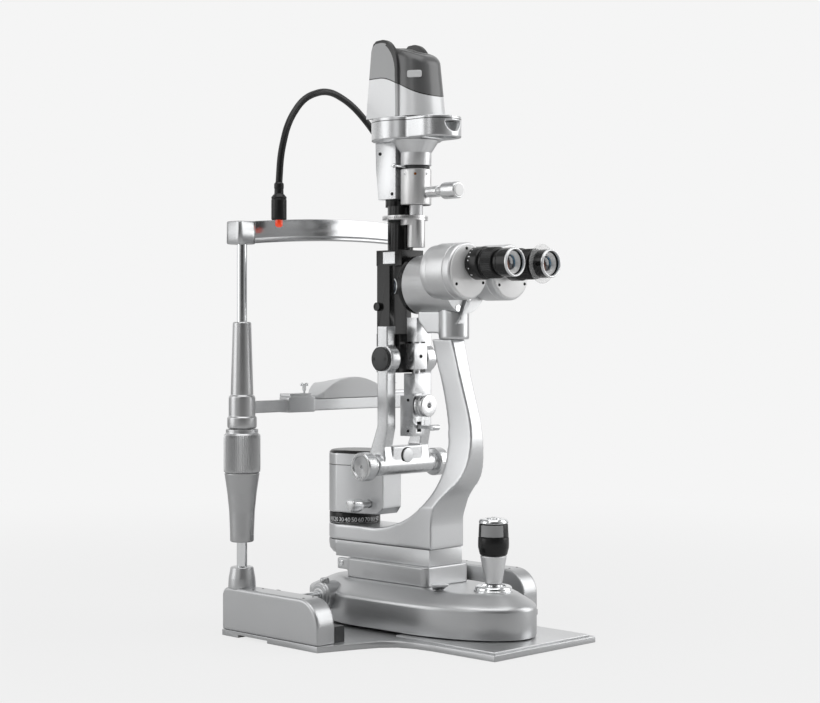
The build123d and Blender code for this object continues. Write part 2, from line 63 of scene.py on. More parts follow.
MM = 0.001
RECORD = frame["record"]
BODY_OF = {n: b for b, ns in RECORD["behaviour"]["bodies"].items() for n in ns}
JOINT_AT = {j["name"]: np.array(j["pos_m"]) for j in RECORD["behaviour"]["joints"] if "pos_m" in j}
SIDES = ((-1, "left"), (1, "right"))
BACKDROP = 0.913
X_AXIS, Y_AXIS, Z_AXIS = np.eye(3)


def middle(node):
    """The centre of a frame node's box."""
    low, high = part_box(node)
    return np.array((low + high) / 2)


def signed(name, side):
    """A piece's name with its side, m1 for -X and 1 for +X."""
    return f"{name}_{side}".replace("-", "m")


# ---------------------------------------------------------------- shader maths
class Wire:
    """A number carried by a shader link. Arithmetic on wires adds Math nodes."""

    def __init__(self, shader, socket):
        self.shader = shader
        self.socket = socket

    def maths(self, operation, *values):
        return self.shader.node("ShaderNodeMath", {"operation": operation}, dict(enumerate(values)))

    def __add__(self, other):
        return self.maths("ADD", self, other)

    def __sub__(self, other):
        return self.maths("SUBTRACT", self, other)

    def __rsub__(self, other):
        return self.maths("SUBTRACT", other, self)

    def __mul__(self, other):
        return self.maths("MULTIPLY", self, other)

    def __truediv__(self, other):
        return self.maths("DIVIDE", self, other)

    def __gt__(self, other):
        return self.maths("GREATER_THAN", self, other)

    def __lt__(self, other):
        return self.maths("LESS_THAN", self, other)

    def __abs__(self):
        return self.maths("ABSOLUTE", self)

    __radd__ = __add__
    __rmul__ = __mul__


class NodeTree:
    """An emptied node tree of a material or a world, and the one way of adding nodes to it."""

    def __init__(self, owner):
        owner.use_nodes = True
        self.tree = owner.node_tree
        self.tree.nodes.clear()

    def node(self, kind, settings=None, inputs=None, output=0):
        made = self.tree.nodes.new(kind)
        for key, value in (settings or {}).items():
            if key == "stops":
                ramp = made.color_ramp.elements
                while len(ramp) < len(value):
                    ramp.new(1.0)
                for element, (position, colour) in zip(ramp, value):
                    element.position = position
                    element.color = (*colour, 1)
            else:
                setattr(made, key, value)
        for key, value in (inputs or {}).items():
            if isinstance(value, Wire):
                self.tree.links.new(value.socket, made.inputs[key])
            elif isinstance(value, tuple) and len(value) == 3 and made.inputs[key].type == "RGBA":
                made.inputs[key].default_value = (*value, 1)
            else:
                made.inputs[key].default_value = value
        return Wire(self, made.outputs[output])

    def smooth_step(self, value, start, end, first=0.0, last=1.0):
        """first below start and last beyond end, with an S-shaped run between them."""
        return self.node("ShaderNodeMapRange", {"interpolation_type": "SMOOTHSTEP"},
                         {0: value, 1: start, 2: end, 3: first, 4: last})

    def close(self, surface_shader, output="ShaderNodeOutputMaterial"):
        end = self.tree.nodes.new(output)
        self.tree.links.new(surface_shader.socket, end.inputs["Surface"])


class Shader(NodeTree):
    """A material on Object coordinates."""

    def __init__(self, name):
        self.material = bpy.data.materials.new(name)
        super().__init__(self.material)
        self.place = self.node("ShaderNodeTexCoord", output="Object")
        self.x, self.y, self.z = [self.node("ShaderNodeSeparateXYZ", {}, {0: self.place}, output=i)
                                  for i in range(3)]

    def noise(self, scale, detail=2.0, where=None):
        return self.node("ShaderNodeTexNoise", {},
                         {"Vector": where or self.place, "Scale": scale, "Detail": detail})

    def blend(self, mask, first, second):
        """first where the mask is 0 and second where it is 1, as colours."""
        return self.node("ShaderNodeMix", {"data_type": "RGBA"}, {"Factor": mask, 6: first, 7: second},
                         output=2)

    def bump(self, height, depth, strength=1.0):
        return self.node("ShaderNodeBump", {}, {"Height": height, "Distance": depth, "Strength": strength})

    def done(self, colour, roughness, metallic=0.0, normal=None, **extra):
        """Closes the material with one Principled shader. extra holds its other sockets by name."""
        inputs = {"Base Color": colour, "Roughness": roughness, "Metallic": metallic}
        inputs.update({key.replace("_", " "): value for key, value in extra.items()})
        if normal is not None:
            inputs["Normal"] = normal
        self.close(self.node("ShaderNodeBsdfPrincipled", {}, inputs))
        return self.material


# ---------------------------------------------------------------- finishes
def grey(value, tint=0.0):
    """A neutral colour, a touch cooler with tint."""
    return (value * (1 - tint), value, value * (1 + tint))


def metal_paint(name, shade, roughness=0.34, metallic=0.85, flake=0.10, lines=()):
    """Satin metallic paint: fine flakes, orange peel and faint handling marks.

    lines holds (axis, position, half width) of the parting lines, where the paint turns dark.
    """
    s = Shader(name)
    flakes = s.noise(2600.0, 1.0)
    marks = s.noise(22.0, 4.0)
    colour = s.blend(flakes, grey(shade * (1 - flake), 0.012), grey(shade * (1 + flake), 0.012))
    for axis, position, half in lines:
        line = abs(getattr(s, axis) - position) < half
        colour = s.blend(line, colour, grey(0.02))
    rough = roughness - 0.07 + marks * 0.10 + flakes * 0.05
    peel = s.noise(900.0, 3.0) * 0.5 + s.noise(260.0, 2.0)
    return s.done(colour, rough, metallic, s.bump(peel, 0.00006, 0.35), Coat_Weight=0.12)


def turned_metal(name, shade, axis="z", roughness=0.24, metallic=0.95, pitch=9000.0):
    """Turned and satin-anodised metal: fine rings across the lathe axis."""
    s = Shader(name)
    along = getattr(s, axis)
    where = s.node("ShaderNodeCombineXYZ", {}, {0: along, 1: s.x * 0.02, 2: s.y * 0.02})
    rings = s.noise(pitch, 2.0, where)
    marks = s.noise(30.0, 3.0)
    colour = s.blend(rings, grey(shade * 0.9, 0.008), grey(shade * 1.06, 0.008))
    rough = roughness - 0.05 + rings * 0.08 + marks * 0.05
    return s.done(colour, rough, metallic, s.bump(rings, 0.00002, 0.4))


def polished(name, shade, roughness=0.07):
    """Bright chrome with light hairlines and finger marks."""
    s = Shader(name)
    hair = s.noise(3500.0, 1.0)
    marks = s.noise(40.0, 3.0)
    colour = s.blend(marks, grey(shade * 0.96, 0.01), grey(shade, 0.01))
    return s.done(colour, roughness + marks * 0.06, 1.0, s.bump(hair, 0.00001, 0.2))


def dark_gloss(name, shade=0.012, roughness=0.22, metallic=0.0, peel=0.3):
    """Black anodised or enamelled metal: a clear gloss over a fine matte base."""
    s = Shader(name)
    base = s.noise(1500.0, 2.0)
    marks = s.noise(35.0, 4.0)
    colour = s.blend(marks, grey(shade * 0.8, 0.02), grey(shade * 1.5, 0.02))
    rough = roughness - 0.05 + marks * 0.14
    return s.done(colour, rough, metallic, s.bump(base, 0.00002, peel), Coat_Weight=0.08,
                  Specular_IOR_Level=0.32)


def moulded(name, shade, roughness=0.42, tint=0.01, grain=420.0):
    """Moulded plastic with a fine spark-eroded grain."""
    s = Shader(name)
    texture = s.noise(grain * 4, 3.0)
    marks = s.noise(25.0, 3.0)
    colour = s.blend(texture, grey(shade * 0.93, tint), grey(shade * 1.05, tint))
    return s.done(colour, roughness - 0.05 + marks * 0.12, 0.0, s.bump(texture, 0.00006, 0.4))


def white_enamel(name, shade=0.82):
    """Pale satin enamel, almost smooth."""
    s = Shader(name)
    marks = s.noise(60.0, 3.0)
    colour = s.blend(marks, grey(shade * 0.95), grey(shade))
    return s.done(colour, 0.25 + marks * 0.1, 0.1, s.bump(s.noise(1200.0), 0.00002, 0.3))


def lens_glass(name, deep, glow, centre, reach):
    """A coated lens: nearly black glass with a painted reflection, the coating's coloured glint running from
    one tint to another across it.
    """
    s = Shader(name)
    # Painted reflection: glow is a coloured glint painted at one side of the lens, fading through near black
    # to deep, a painted tint, at the other side.
    across = (s.x - centre[0] + (s.z - centre[2]) * 0.4) / reach
    stops = [(0.0, glow), (0.30, (0.004, 0.005, 0.008)), (0.62, (0.004, 0.008, 0.014)), (0.9, deep)]
    tint = s.node("ShaderNodeValToRGB", {"stops": stops}, {0: across * 0.5 + 0.5})
    dim = s.noise(90.0, 2.0)
    colour = s.blend(dim * 0.4, tint, (0.004, 0.006, 0.010))
    return s.done(colour, 0.03 + dim * 0.02, 0.0, Coat_Weight=1.0, Coat_Roughness=0.02)


def clear_guard(name):
    """Thin clear plastic, seen mostly at its rim."""
    s = Shader(name)
    rim = s.node("ShaderNodeLayerWeight", {}, {"Blend": 0.35}, output=1)
    colour = s.blend(rim, grey(0.9), grey(0.6))
    return s.done(colour, 0.08 + s.noise(60.0) * 0.04, 0.0, Alpha=rim * 0.5 + 0.12)


def split_shell(name, high, low, top_dark=True):
    """The lamp cover: two moulded tones with a dark parting line that falls in a wave to the front."""
    s = Shader(name)
    wave_start, wave_run = -0.075, 0.075
    high_line, low_line, half_line = 0.643, 0.6175, 0.0006
    crown_foot, crown_top = 0.664, 0.676
    above = s.z - s.smooth_step((wave_start - s.y) / wave_run, 0.0, 1.0, high_line, low_line)
    upper = s.blend(s.noise(2400.0, 2.0), grey(high * 0.88, 0.01), grey(high * 1.1, 0.01))
    lower = s.blend(s.noise(2400.0, 2.0), grey(low * 0.96, 0.01), grey(low * 1.03, 0.01))
    if top_dark:
        crown = s.node("ShaderNodeMapRange", {}, {0: s.z, 1: crown_foot, 2: crown_top, 3: 0.0, 4: 0.8})
        upper = s.blend(crown, upper, grey(0.02))
    colour = s.blend(above > 0.0, lower, upper)
    colour = s.blend(abs(above) < half_line, colour, grey(0.015))
    rough = 0.30 + s.noise(30.0, 3.0) * 0.12
    return s.done(colour, rough, 0.25, s.bump(s.noise(1500.0), 0.00004, 0.3), Coat_Weight=0.2)


def scale_dial(name, centre, ticks, low, high, shade):
    """Turned metal with engraved radial ticks between two heights."""
    s = Shader(name)
    angle = s.node("ShaderNodeMath", {"operation": "ARCTAN2"}, {0: s.y - centre[1], 1: s.x - centre[0]})
    cell = s.node("ShaderNodeMath", {"operation": "FRACT"}, {0: angle * (ticks / math.tau) + 8.0})
    mark = (abs(cell - 0.5) < 0.13) * (s.z > low) * (s.z < high)
    rings = s.noise(700.0, 3.0)
    plain = s.blend(rings, grey(shade * 0.93), grey(shade * 1.04))
    colour = s.blend(mark, plain, grey(0.03))
    return s.done(colour, 0.26 + rings * 0.08, 0.9, s.bump(1 - mark, 0.0001, 0.5))


def drum_skin(name, shade, dark_below, dot):
    """The slit drum: satin turned metal above a black lower band, with an amber index dot."""
    s = Shader(name)
    rings = s.noise(1500.0, 2.0)
    plain = s.blend(rings, grey(shade * 0.94), grey(shade * 1.04))
    black = s.z < dark_below
    away = s.node("ShaderNodeVectorMath", {"operation": "DISTANCE"}, {0: s.place, 1: dot}, output=1)
    colour = s.blend(black, plain, grey(0.012))
    colour = s.blend(away < 0.0016, colour, (0.30, 0.10, 0.02))
    rough = 0.38 + rings * 0.06
    return s.done(colour, rough, 0.92 - black * 0.8, s.bump(rings, 0.00002, 0.3))


# ---------------------------------------------------------------- surfaces
def surface(name, points, wrap=True, caps=False):
    """A mesh from a grid of points, rows by columns, every four neighbours making a face.

    wrap joins the last column to the first, and caps close the first and last rows.
    Doubled points at poles are welded, and the faces are turned outwards.
    """
    rows, columns, _ = points.shape
    index = np.arange(rows * columns).reshape(rows, columns)
    right = np.roll(index, -1, axis=1) if wrap else index[:, 1:]
    left = index if wrap else index[:, :-1]
    quads = np.stack([left[:-1], right[:-1], right[1:], left[1:]], axis=-1).reshape(-1, 4).tolist()
    if caps:
        quads += [index[0, ::-1].tolist(), index[-1].tolist()]
    mesh = bpy.data.meshes.new(name)
    mesh.from_pydata(points.reshape(-1, 3).tolist(), [], quads)
    bm = bmesh.new()
    bm.from_mesh(mesh)
    bmesh.ops.remove_doubles(bm, verts=bm.verts, dist=1e-6)
    bmesh.ops.recalc_face_normals(bm, faces=bm.faces)
    bm.to_mesh(mesh)
    bm.free()
    return place(name, mesh)


def place(name, mesh, sharp=32):
    """Links a mesh as an object, smooth except at edges sharper than so many degrees."""
    mesh.polygons.foreach_set("use_smooth", [True] * len(mesh.polygons))
    mesh.set_sharp_from_angle(angle=math.radians(sharp))
    piece = bpy.data.objects.new(name, mesh)
    bpy.context.scene.collection.objects.link(piece)
    return piece


def dress(piece, finish):
    """Puts one finish on a piece, in place of any it had."""
    piece.data.materials.clear()
    piece.data.materials.append(bpy.data.materials[finish])


def wear(piece, finish, node, stands_for=()):
    """Gives a piece its finish, and its body from the frame node that it belongs to."""
    dress(piece, finish)
    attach(piece, BODY_OF[node])
    if stands_for:
        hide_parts(*stands_for)
    return piece


def crossways(axis):
    """Two unit vectors at right angles to an axis and to each other."""
    axis = np.array(axis, float)
    side = np.cross(axis, X_AXIS if abs(axis[0]) < 0.5 else Y_AXIS)
    side /= np.linalg.norm(side)
    return side, np.cross(axis, side)


def turned(name, centre, axis, profile, around=72, ripple=None):
    """A profile of (radius, height) turned about an axis.

    Point = centre + height * axis + radius * (cos a * side + sin a * up). ripple(angle, height)
    is a share by which the radius grows.
    """
    profile = np.array(profile, float) * MM
    angle = np.linspace(0, math.tau, around, endpoint=False)
    side, up = crossways(axis)
    radius, height = profile[:, :1], profile[:, 1:]
    if ripple is not None:
        radius = radius * (1 + ripple(angle[None, :], height))
    ring = np.cos(angle)[:, None] * side + np.sin(angle)[:, None] * up
    points = np.array(centre) + height[:, :, None] * np.array(axis, float)
    radius = np.broadcast_to(radius, (len(profile), around))
    return surface(name, points + radius[:, :, None] * ring[None])


def flutes(count, depth, low, high):
    """A ripple for turned(): count ridges, depth of the radius deep, between two heights."""
    def ripple(angle, height):
        inside = (height > low * MM) & (height < high * MM)
        return np.where(inside, depth * (np.abs(((angle * count / math.tau) % 1) - 0.5) * 2 - 1), 0.0)
    return ripple


def rounded(profile, radius=0.5, steps=4):
    """Rounds a profile's corners: each corner becomes a quadratic curve between points beside it."""
    points = np.array(profile, float)
    out = [points[:1]]
    for before, at, after in zip(points, points[1:], points[2:]):
        cut = min(radius, np.linalg.norm(before - at) * 0.45, np.linalg.norm(after - at) * 0.45)
        start = at + (before - at) / np.linalg.norm(before - at) * cut
        end = at + (after - at) / np.linalg.norm(after - at) * cut
        t = np.linspace(0, 1, steps)[:, None]
        out.append((1 - t) ** 2 * start + 2 * t * (1 - t) * at + t ** 2 * end)
    return np.vstack(out + [points[-1:]])


def lathe(name, node, centre, axis, profile, finish, radius=0.5, stands_for=(), **options):
    """A turned piece with rounded corners, finished and riding with a node's body."""
    piece = turned(name, centre, axis, rounded(profile, radius), **options)
    return wear(piece, finish, node, stands_for)


def screw(name, node, centre, axis, radius, finish):
    """A screw head: a low dome with a hexagonal recess.

    The recess is the profile's inner rows, whose radius follows a hexagon: r / cos(a mod 60 - 30).
    """
    profile = [(0, 0.15), (radius * 0.42, 0.15), (radius * 0.46, 0.75), (radius * 0.9, 0.62), (radius, 0.0)]

    def hexagon(angle, height):
        turn = (angle % (math.pi / 3)) - math.pi / 6
        inner = np.arange(len(profile))[:, None] < 3
        return np.where(inner, 0.87 / np.cos(turn) - 0.93, 0.0)
    return wear(turned(name, centre, axis, profile, 36, hexagon), finish, node)


def prism(name, outline, levels, normal):
    """A plate: an outline's inset copies stacked along a normal.

    Row k = outline moved inwards by its own normals times inset k, plus height k along the plate.
    """
    outline = np.array(outline, float)
    ahead = np.roll(outline, -1, axis=0) - np.roll(outline, 1, axis=0)
    inward = np.cross(np.array(normal, float), ahead)
    inward /= np.linalg.norm(inward, axis=1)[:, None] + 1e-12
    middle_point = outline.mean(axis=0)
    if np.sum(inward * (middle_point - outline)) < 0:
        inward = -inward
    rows = [outline + inward * inset * MM + np.array(normal, float) * height * MM
            for inset, height in levels]
    return surface(name, np.array(rows), caps=True)


def welded_copy(node, flatten=False):
    """A copy of a node's mesh with its loose triangles joined, and flat faces made whole with flatten."""
    mesh = frame["nodes"][node].data.copy()
    mesh.materials.clear()
    bm = bmesh.new()
    bm.from_mesh(mesh)
    bmesh.ops.remove_doubles(bm, verts=bm.verts, dist=2e-6)
    if flatten:
        bmesh.ops.dissolve_limit(bm, angle_limit=math.radians(1.0), verts=bm.verts, edges=bm.edges)
        for edge in bm.edges:
            edge.smooth = True
    bm.to_mesh(mesh)
    bm.free()
    return mesh


def cast_copy(node, finish, voxel=1.0, passes=6):
    """A casting: the node's solid remeshed in small cells and relaxed, so its edges are softly rounded."""
    rough = bpy.data.objects.new("rough", welded_copy(node))
    bpy.context.scene.collection.objects.link(rough)
    remesh = rough.modifiers.new("cells", "REMESH")
    remesh.mode = "VOXEL"
    remesh.voxel_size = voxel * MM
    relax = rough.modifiers.new("relax", "SMOOTH")
    relax.factor = 0.5
    relax.iterations = passes
    seen = rough.evaluated_get(bpy.context.evaluated_depsgraph_get())
    made = bpy.data.meshes.new_from_object(seen)
    bpy.data.objects.remove(rough)
    return wear(place(node + "_casting", made, sharp=70), finish, node, (node,))


def eased_copy(node, finish, width=0.5, sharp=30):
    """A machined part: the node's solid with every sharp edge eased by a small bevel."""
    piece = place(node + "_eased", welded_copy(node, flatten=True), sharp=180)
    ease = piece.modifiers.new("ease", "BEVEL")
    ease.limit_method = "ANGLE"
    ease.angle_limit = math.radians(sharp)
    ease.width = width * MM
    ease.segments = 3
    ease.use_clamp_overlap = True
    ease.harden_normals = True
    return wear(piece, finish, node, (node,))


def wrapped_text(name, words, size, ring, angle, height):
    """Numerals round a drum: x along the text turns into an angle, x / ring, and y into height."""
    curve = bpy.data.curves.new(name, "FONT")
    curve.body = words
    curve.size = size
    curve.align_x = "CENTER"
    curve.resolution_u = 4
    held = bpy.data.objects.new("lettering", curve)
    bpy.context.scene.collection.objects.link(held)
    bpy.context.view_layer.update()
    mesh = bpy.data.meshes.new_from_object(held.evaluated_get(bpy.context.evaluated_depsgraph_get()))
    bpy.data.objects.remove(held)
    flat = np.zeros(len(mesh.vertices) * 3)
    mesh.vertices.foreach_get("co", flat)
    flat = flat.reshape(-1, 3)
    turn = angle + flat[:, 0] / ring
    bent = np.column_stack([np.cos(turn) * ring, np.sin(turn) * ring, height + flat[:, 1]])
    mesh.vertices.foreach_set("co", bent.ravel())
    return place(name, mesh)


# ---------------------------------------------------------------- sizes and colours a user may change
class SlitLampFinishes(bpy.types.PropertyGroup):
    """Shades of the finishes, from 0, black, to 1, white."""
    paint: bpy.props.FloatProperty(name="Cast paint", description="Shade of the base's satin paint",
                                   default=0.52, min=0, max=1, subtype="FACTOR")
    arm: bpy.props.FloatProperty(name="Arm paint", description="Shade of the arms' satin paint",
                                 default=0.63, min=0, max=1, subtype="FACTOR")
    bright: bpy.props.FloatProperty(name="Turned metal", description="Shade of drums and knobs",
                                    default=0.72, min=0, max=1, subtype="FACTOR")
    chrome: bpy.props.FloatProperty(name="Chrome", description="Shade of polished posts and pins",
                                    default=0.85, min=0, max=1, subtype="FACTOR")
    black: bpy.props.FloatProperty(name="Black", description="Shade of black parts",
                                   default=0.006, min=0, max=1, subtype="FACTOR")
    fixation_red: bpy.props.FloatVectorProperty(name="Fixation lens", description="Colour of the red lens",
                                                default=(0.85, 0.045, 0.012), min=0, max=1,
                                                subtype="COLOR")


class SlitLampDetails(bpy.types.PropertyGroup):
    """Sizes of the fine details."""
    grip_flutes: bpy.props.IntProperty(name="Grip flutes", description="Ridges round the height grip",
                                       default=60, min=12, max=200)
    knob_flutes: bpy.props.IntProperty(name="Knob flutes", description="Ridges round the small knobs",
                                       default=48, min=12, max=200)
    edge_ease: bpy.props.FloatProperty(name="Edge ease", description="Bevel on machined edges",
                                       default=0.0005, min=0, unit="LENGTH")
    screw_radius: bpy.props.FloatProperty(name="Screw radius", description="Radius of a small screw head",
                                          default=0.0018, min=0.0005, unit="LENGTH")


class MakeFinishes(bpy.types.Operator):
    """Makes every finish, and puts them on the frame nodes that keep their shape."""
    bl_idname = "slit_lamp.finishes"
    bl_label = "Finishes"

    def execute(self, context):
        p = context.scene.slit_lamp_finishes
        metal_paint("cast paint", p.paint)
        metal_paint("arm paint", p.arm, roughness=0.30, lines=[("z", 0.0992, 0.0004)])
        metal_paint("fork paint", p.arm, roughness=0.27, metallic=0.9)
        metal_paint("box paint", p.arm, roughness=0.30, lines=[("z", 0.1885, 0.0004), ("z", 0.2062, 0.004)])
        metal_paint("ring paint", p.arm, roughness=0.28, lines=[("z", 0.5915, 0.0004)])
        turned_metal("drum metal", p.bright * 0.92, "y", roughness=0.40)
        turned_metal("collar metal", p.bright, "z", roughness=0.38)
        turned_metal("knob metal", p.bright, "y", roughness=0.22)
        turned_metal("slit knob metal", p.bright * 0.95, "x", roughness=0.24)
        metal_paint("band metal", p.paint * 0.95, roughness=0.22, metallic=0.95, flake=0.04)
        turned_metal("grip metal", p.paint * 0.9, "z", roughness=0.30)
        turned_metal("sleeve metal", p.paint * 1.05, "z", roughness=0.30)
        polished("chrome", p.chrome)
        dark_gloss("black", p.black)
        dark_gloss("dark disc", 0.05, roughness=0.35)
        dark_gloss("black screw", 0.02, roughness=0.3, metallic=0.8)
        dark_gloss("soft black", p.black, roughness=0.34, peel=0.8)
        dark_gloss("dark steel", 0.08, roughness=0.4, metallic=0.9)
        moulded("rubber", 0.03, roughness=0.6)
        moulded("chin plastic", 0.62, roughness=0.30)
        moulded("pad silicone", 0.10, roughness=0.55)
        moulded("numeral white", 0.85, roughness=0.5)
        moulded("grip facet", 0.30, roughness=0.4, grain=150.0)
        white_enamel("white plate")
        scale_dial("dial", middle("slit_dial") * (1, 0, 1) + (0, -0.086, 0), 72, 0.4795, 0.4818, 0.70)
        drum_skin("slit drum skin", p.bright, 0.4952, (-0.0135, -0.116, 0.5305))
        split_shell("cover front", 0.11, 0.70)
        split_shell("cover side", 0.32, 0.76, top_dark=False)
        split_shell("cover rim", 0.05, 0.40)
        s = Shader("red lens")
        s.done(s.blend(s.noise(300.0), tuple(p.fixation_red), (0.95, 0.10, 0.03)), 0.12,
               Coat_Weight=0.6, Emission_Color=(0.9, 0.05, 0.01), Emission_Strength=0.35)
        s = Shader("mirror")
        s.done(s.blend(s.noise(20.0), grey(0.86), grey(0.9)), 0.02 + s.noise(40.0) * 0.01, 1.0)
        clear_guard("clear guard")
        kept = {"rail_racks": "dark steel", "gooseneck": "soft black", "mirror_head": "mirror"}
        kept.update(dict.fromkeys(("headrest_post", "axle", "joystick_ball", "pivot_shaft",
                                   "paper_pin_left", "paper_pin_right"), "chrome"))
        for node, name in kept.items():
            dress(frame["nodes"][node], name)
        return {"FINISHED"}


class MakeBase(bpy.types.Operator):
    """The base plate, its glide pad, the rail covers with their screws and the post's foot."""
    bl_idname = "slit_lamp.base"
    bl_label = "Base and rails"

    def execute(self, context):
        ease = context.scene.slit_lamp_details.edge_ease / MM
        eased_copy("base_plate", "cast paint", ease * 1.6)
        eased_copy("glide_pad", "arm paint", ease)
        for side in ("left", "right"):
            cover = side + "_rail_cover"
            cast_copy(cover, "cast paint", 1.3, 7)
            low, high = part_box(cover)
            for y in (-0.105, -0.02):
                for x in (low.x + 0.006, high.x - 0.006):
                    screw(f"{side}_cover_screw_{y}_{x:.3f}".replace("-", "m"), cover,
                          (x, y, high.z - 0.0005), Z_AXIS, 1.6, "black screw")
        x, y, _ = middle("headrest_post")
        lathe("post_foot", "post_socket", (x, y, 0), Z_AXIS,
              [(6.05, 55), (15.8, 55), (15.6, 60), (15.2, 66), (13.0, 78.2), (12.2, 79), (6.05, 79)],
              "cast paint", stands_for=("post_socket",))
        return {"FINISHED"}


def housing_ring(grow, half_count=90):
    """The housing's plan at one height: resampled polyline and ellipse quarter, mirrored in X = 0.

    Corners are softened by averaging each point with its neighbours.
    """
    half, nose, rear, nose_start = 71.0 + grow, 137.0 + grow, 35 + grow, -140
    t = np.linspace(0, math.pi / 2, 40)[1:]
    line = [(0, rear), (45 + grow, rear), (61 + grow, -8), (74 + grow, -58), (half, nose_start)]
    curve = np.vstack([line, np.stack([half * np.cos(t), nose_start - nose * np.sin(t)], axis=1)])
    run = np.concatenate([[0], np.cumsum(np.linalg.norm(np.diff(curve, axis=0), axis=1))])
    even = np.linspace(0, run[-1], half_count)
    half_ring = np.stack([np.interp(even, run, curve[:, i]) for i in (0, 1)], axis=1)
    ring = np.vstack([half_ring, half_ring[-2:0:-1] * (-1, 1)])
    for _ in range(3):
        ring = (np.roll(ring, 1, axis=0) + 2 * ring + np.roll(ring, -1, axis=0)) / 4
    return ring


class MakeHousing(bpy.types.Operator):
    """The cross slide's housing, its bearing covers, pedestal, axle ends, wheels and base lock."""
    bl_idname = "slit_lamp.housing"
    bl_label = "Cross-slide housing"

    def execute(self, context):
        paint = "cast paint"
        levels = [(2.0, 10.0), (0.6, 10.6), (0, 12), (0, 26), (0, 40), (0.3, 42.4), (1.4, 44.2),
                  (3.2, 45.8), (8, 48.6), (14, 52.1), (20, 55.6), (22.6, 56.9), (25, 57.7), (28, 58.0)]
        rings = [(housing_ring(-inset), z) for inset, z in levels]
        rows = np.array([np.column_stack([ring, np.full(len(ring), z)]) for ring, z in rings])
        shell = surface("housing_shell", rows * MM, caps=True)
        wear(shell, paint, "base_housing", ("base_housing",))
        axle = middle("axle")
        for side in (-1, 1):
            lathe(signed("bearing_cover", side), "bearing_covers", (0, axle[1], axle[2]),
                  X_AXIS * side, [(0, 54), (16.4, 54), (16.7, 56), (16.7, 76), (15.8, 77.6), (13.6, 78.2),
                                  (13.2, 79.6), (12.4, 80), (0, 80)], paint, 0.8,
                  ("bearing_covers",) if side < 0 else ())
        lathe("cover_screw", "bearing_covers", (-0.072, axle[1] - 0.002, 0), Z_AXIS,
              [(0, 50), (5.4, 50), (5.6, 57.5), (4.8, 59.6), (3.6, 60.2), (0, 60.3)], paint, 1.0)
        cast_copy("pedestal", paint, 0.9, 6)
        for side, hand in SIDES:
            lathe(signed("axle_end", side), "bearing_covers",
                  (side * 0.0797, axle[1], axle[2]), X_AXIS * side,
                  [(6.2, 0.3), (6.4, 1.2), (8.6, 1.3), (9.4, 0.6), (9.4, 0.3)], "collar metal")
            name = "wheel_" + hand
            low, high = [corner.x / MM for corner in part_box(name)]
            lathe(name + "_tyre", name, (0, axle[1], axle[2]), X_AXIS,
                  [(6.06, low), (13.2, low), (14, low + 1), (14, low + 3.8), (12.5, low + 4.2),
                   (12.5, high - 4.2), (14, high - 3.8), (14, high - 1), (13.2, high), (6.06, high)],
                  "dark steel", stands_for=(name,),
                  ripple=lambda a, h: 0.012 * np.sin(a * 40) * np.ones_like(h))
        screw("lug_screw", "pedestal", (-0.0362, -0.014, 0.073), -X_AXIS, 4.0, "chrome")
        x, y, _ = JOINT_AT["base_lock_turn"]
        t = np.linspace(0, math.tau, 64, endpoint=False)
        blade = np.column_stack([x + 0.0115 * np.cos(t) * (1 - 0.28 * np.cos(t)) - 0.004,
                                 y + 0.0095 * np.sin(t) * (1 + 0.35 * np.cos(t)), np.zeros(64)])
        lever = prism("lock_blade", blade, [(8.2, 58.4), (6.5, 59), (3, 61.4), (0.5, 63), (0, 63.8),
                                            (0.3, 64.6), (1.4, 65.0)], Z_AXIS)
        wear(lever, "arm paint", "base_lock_lever", ("base_lock_lever",))
        return {"FINISHED"}


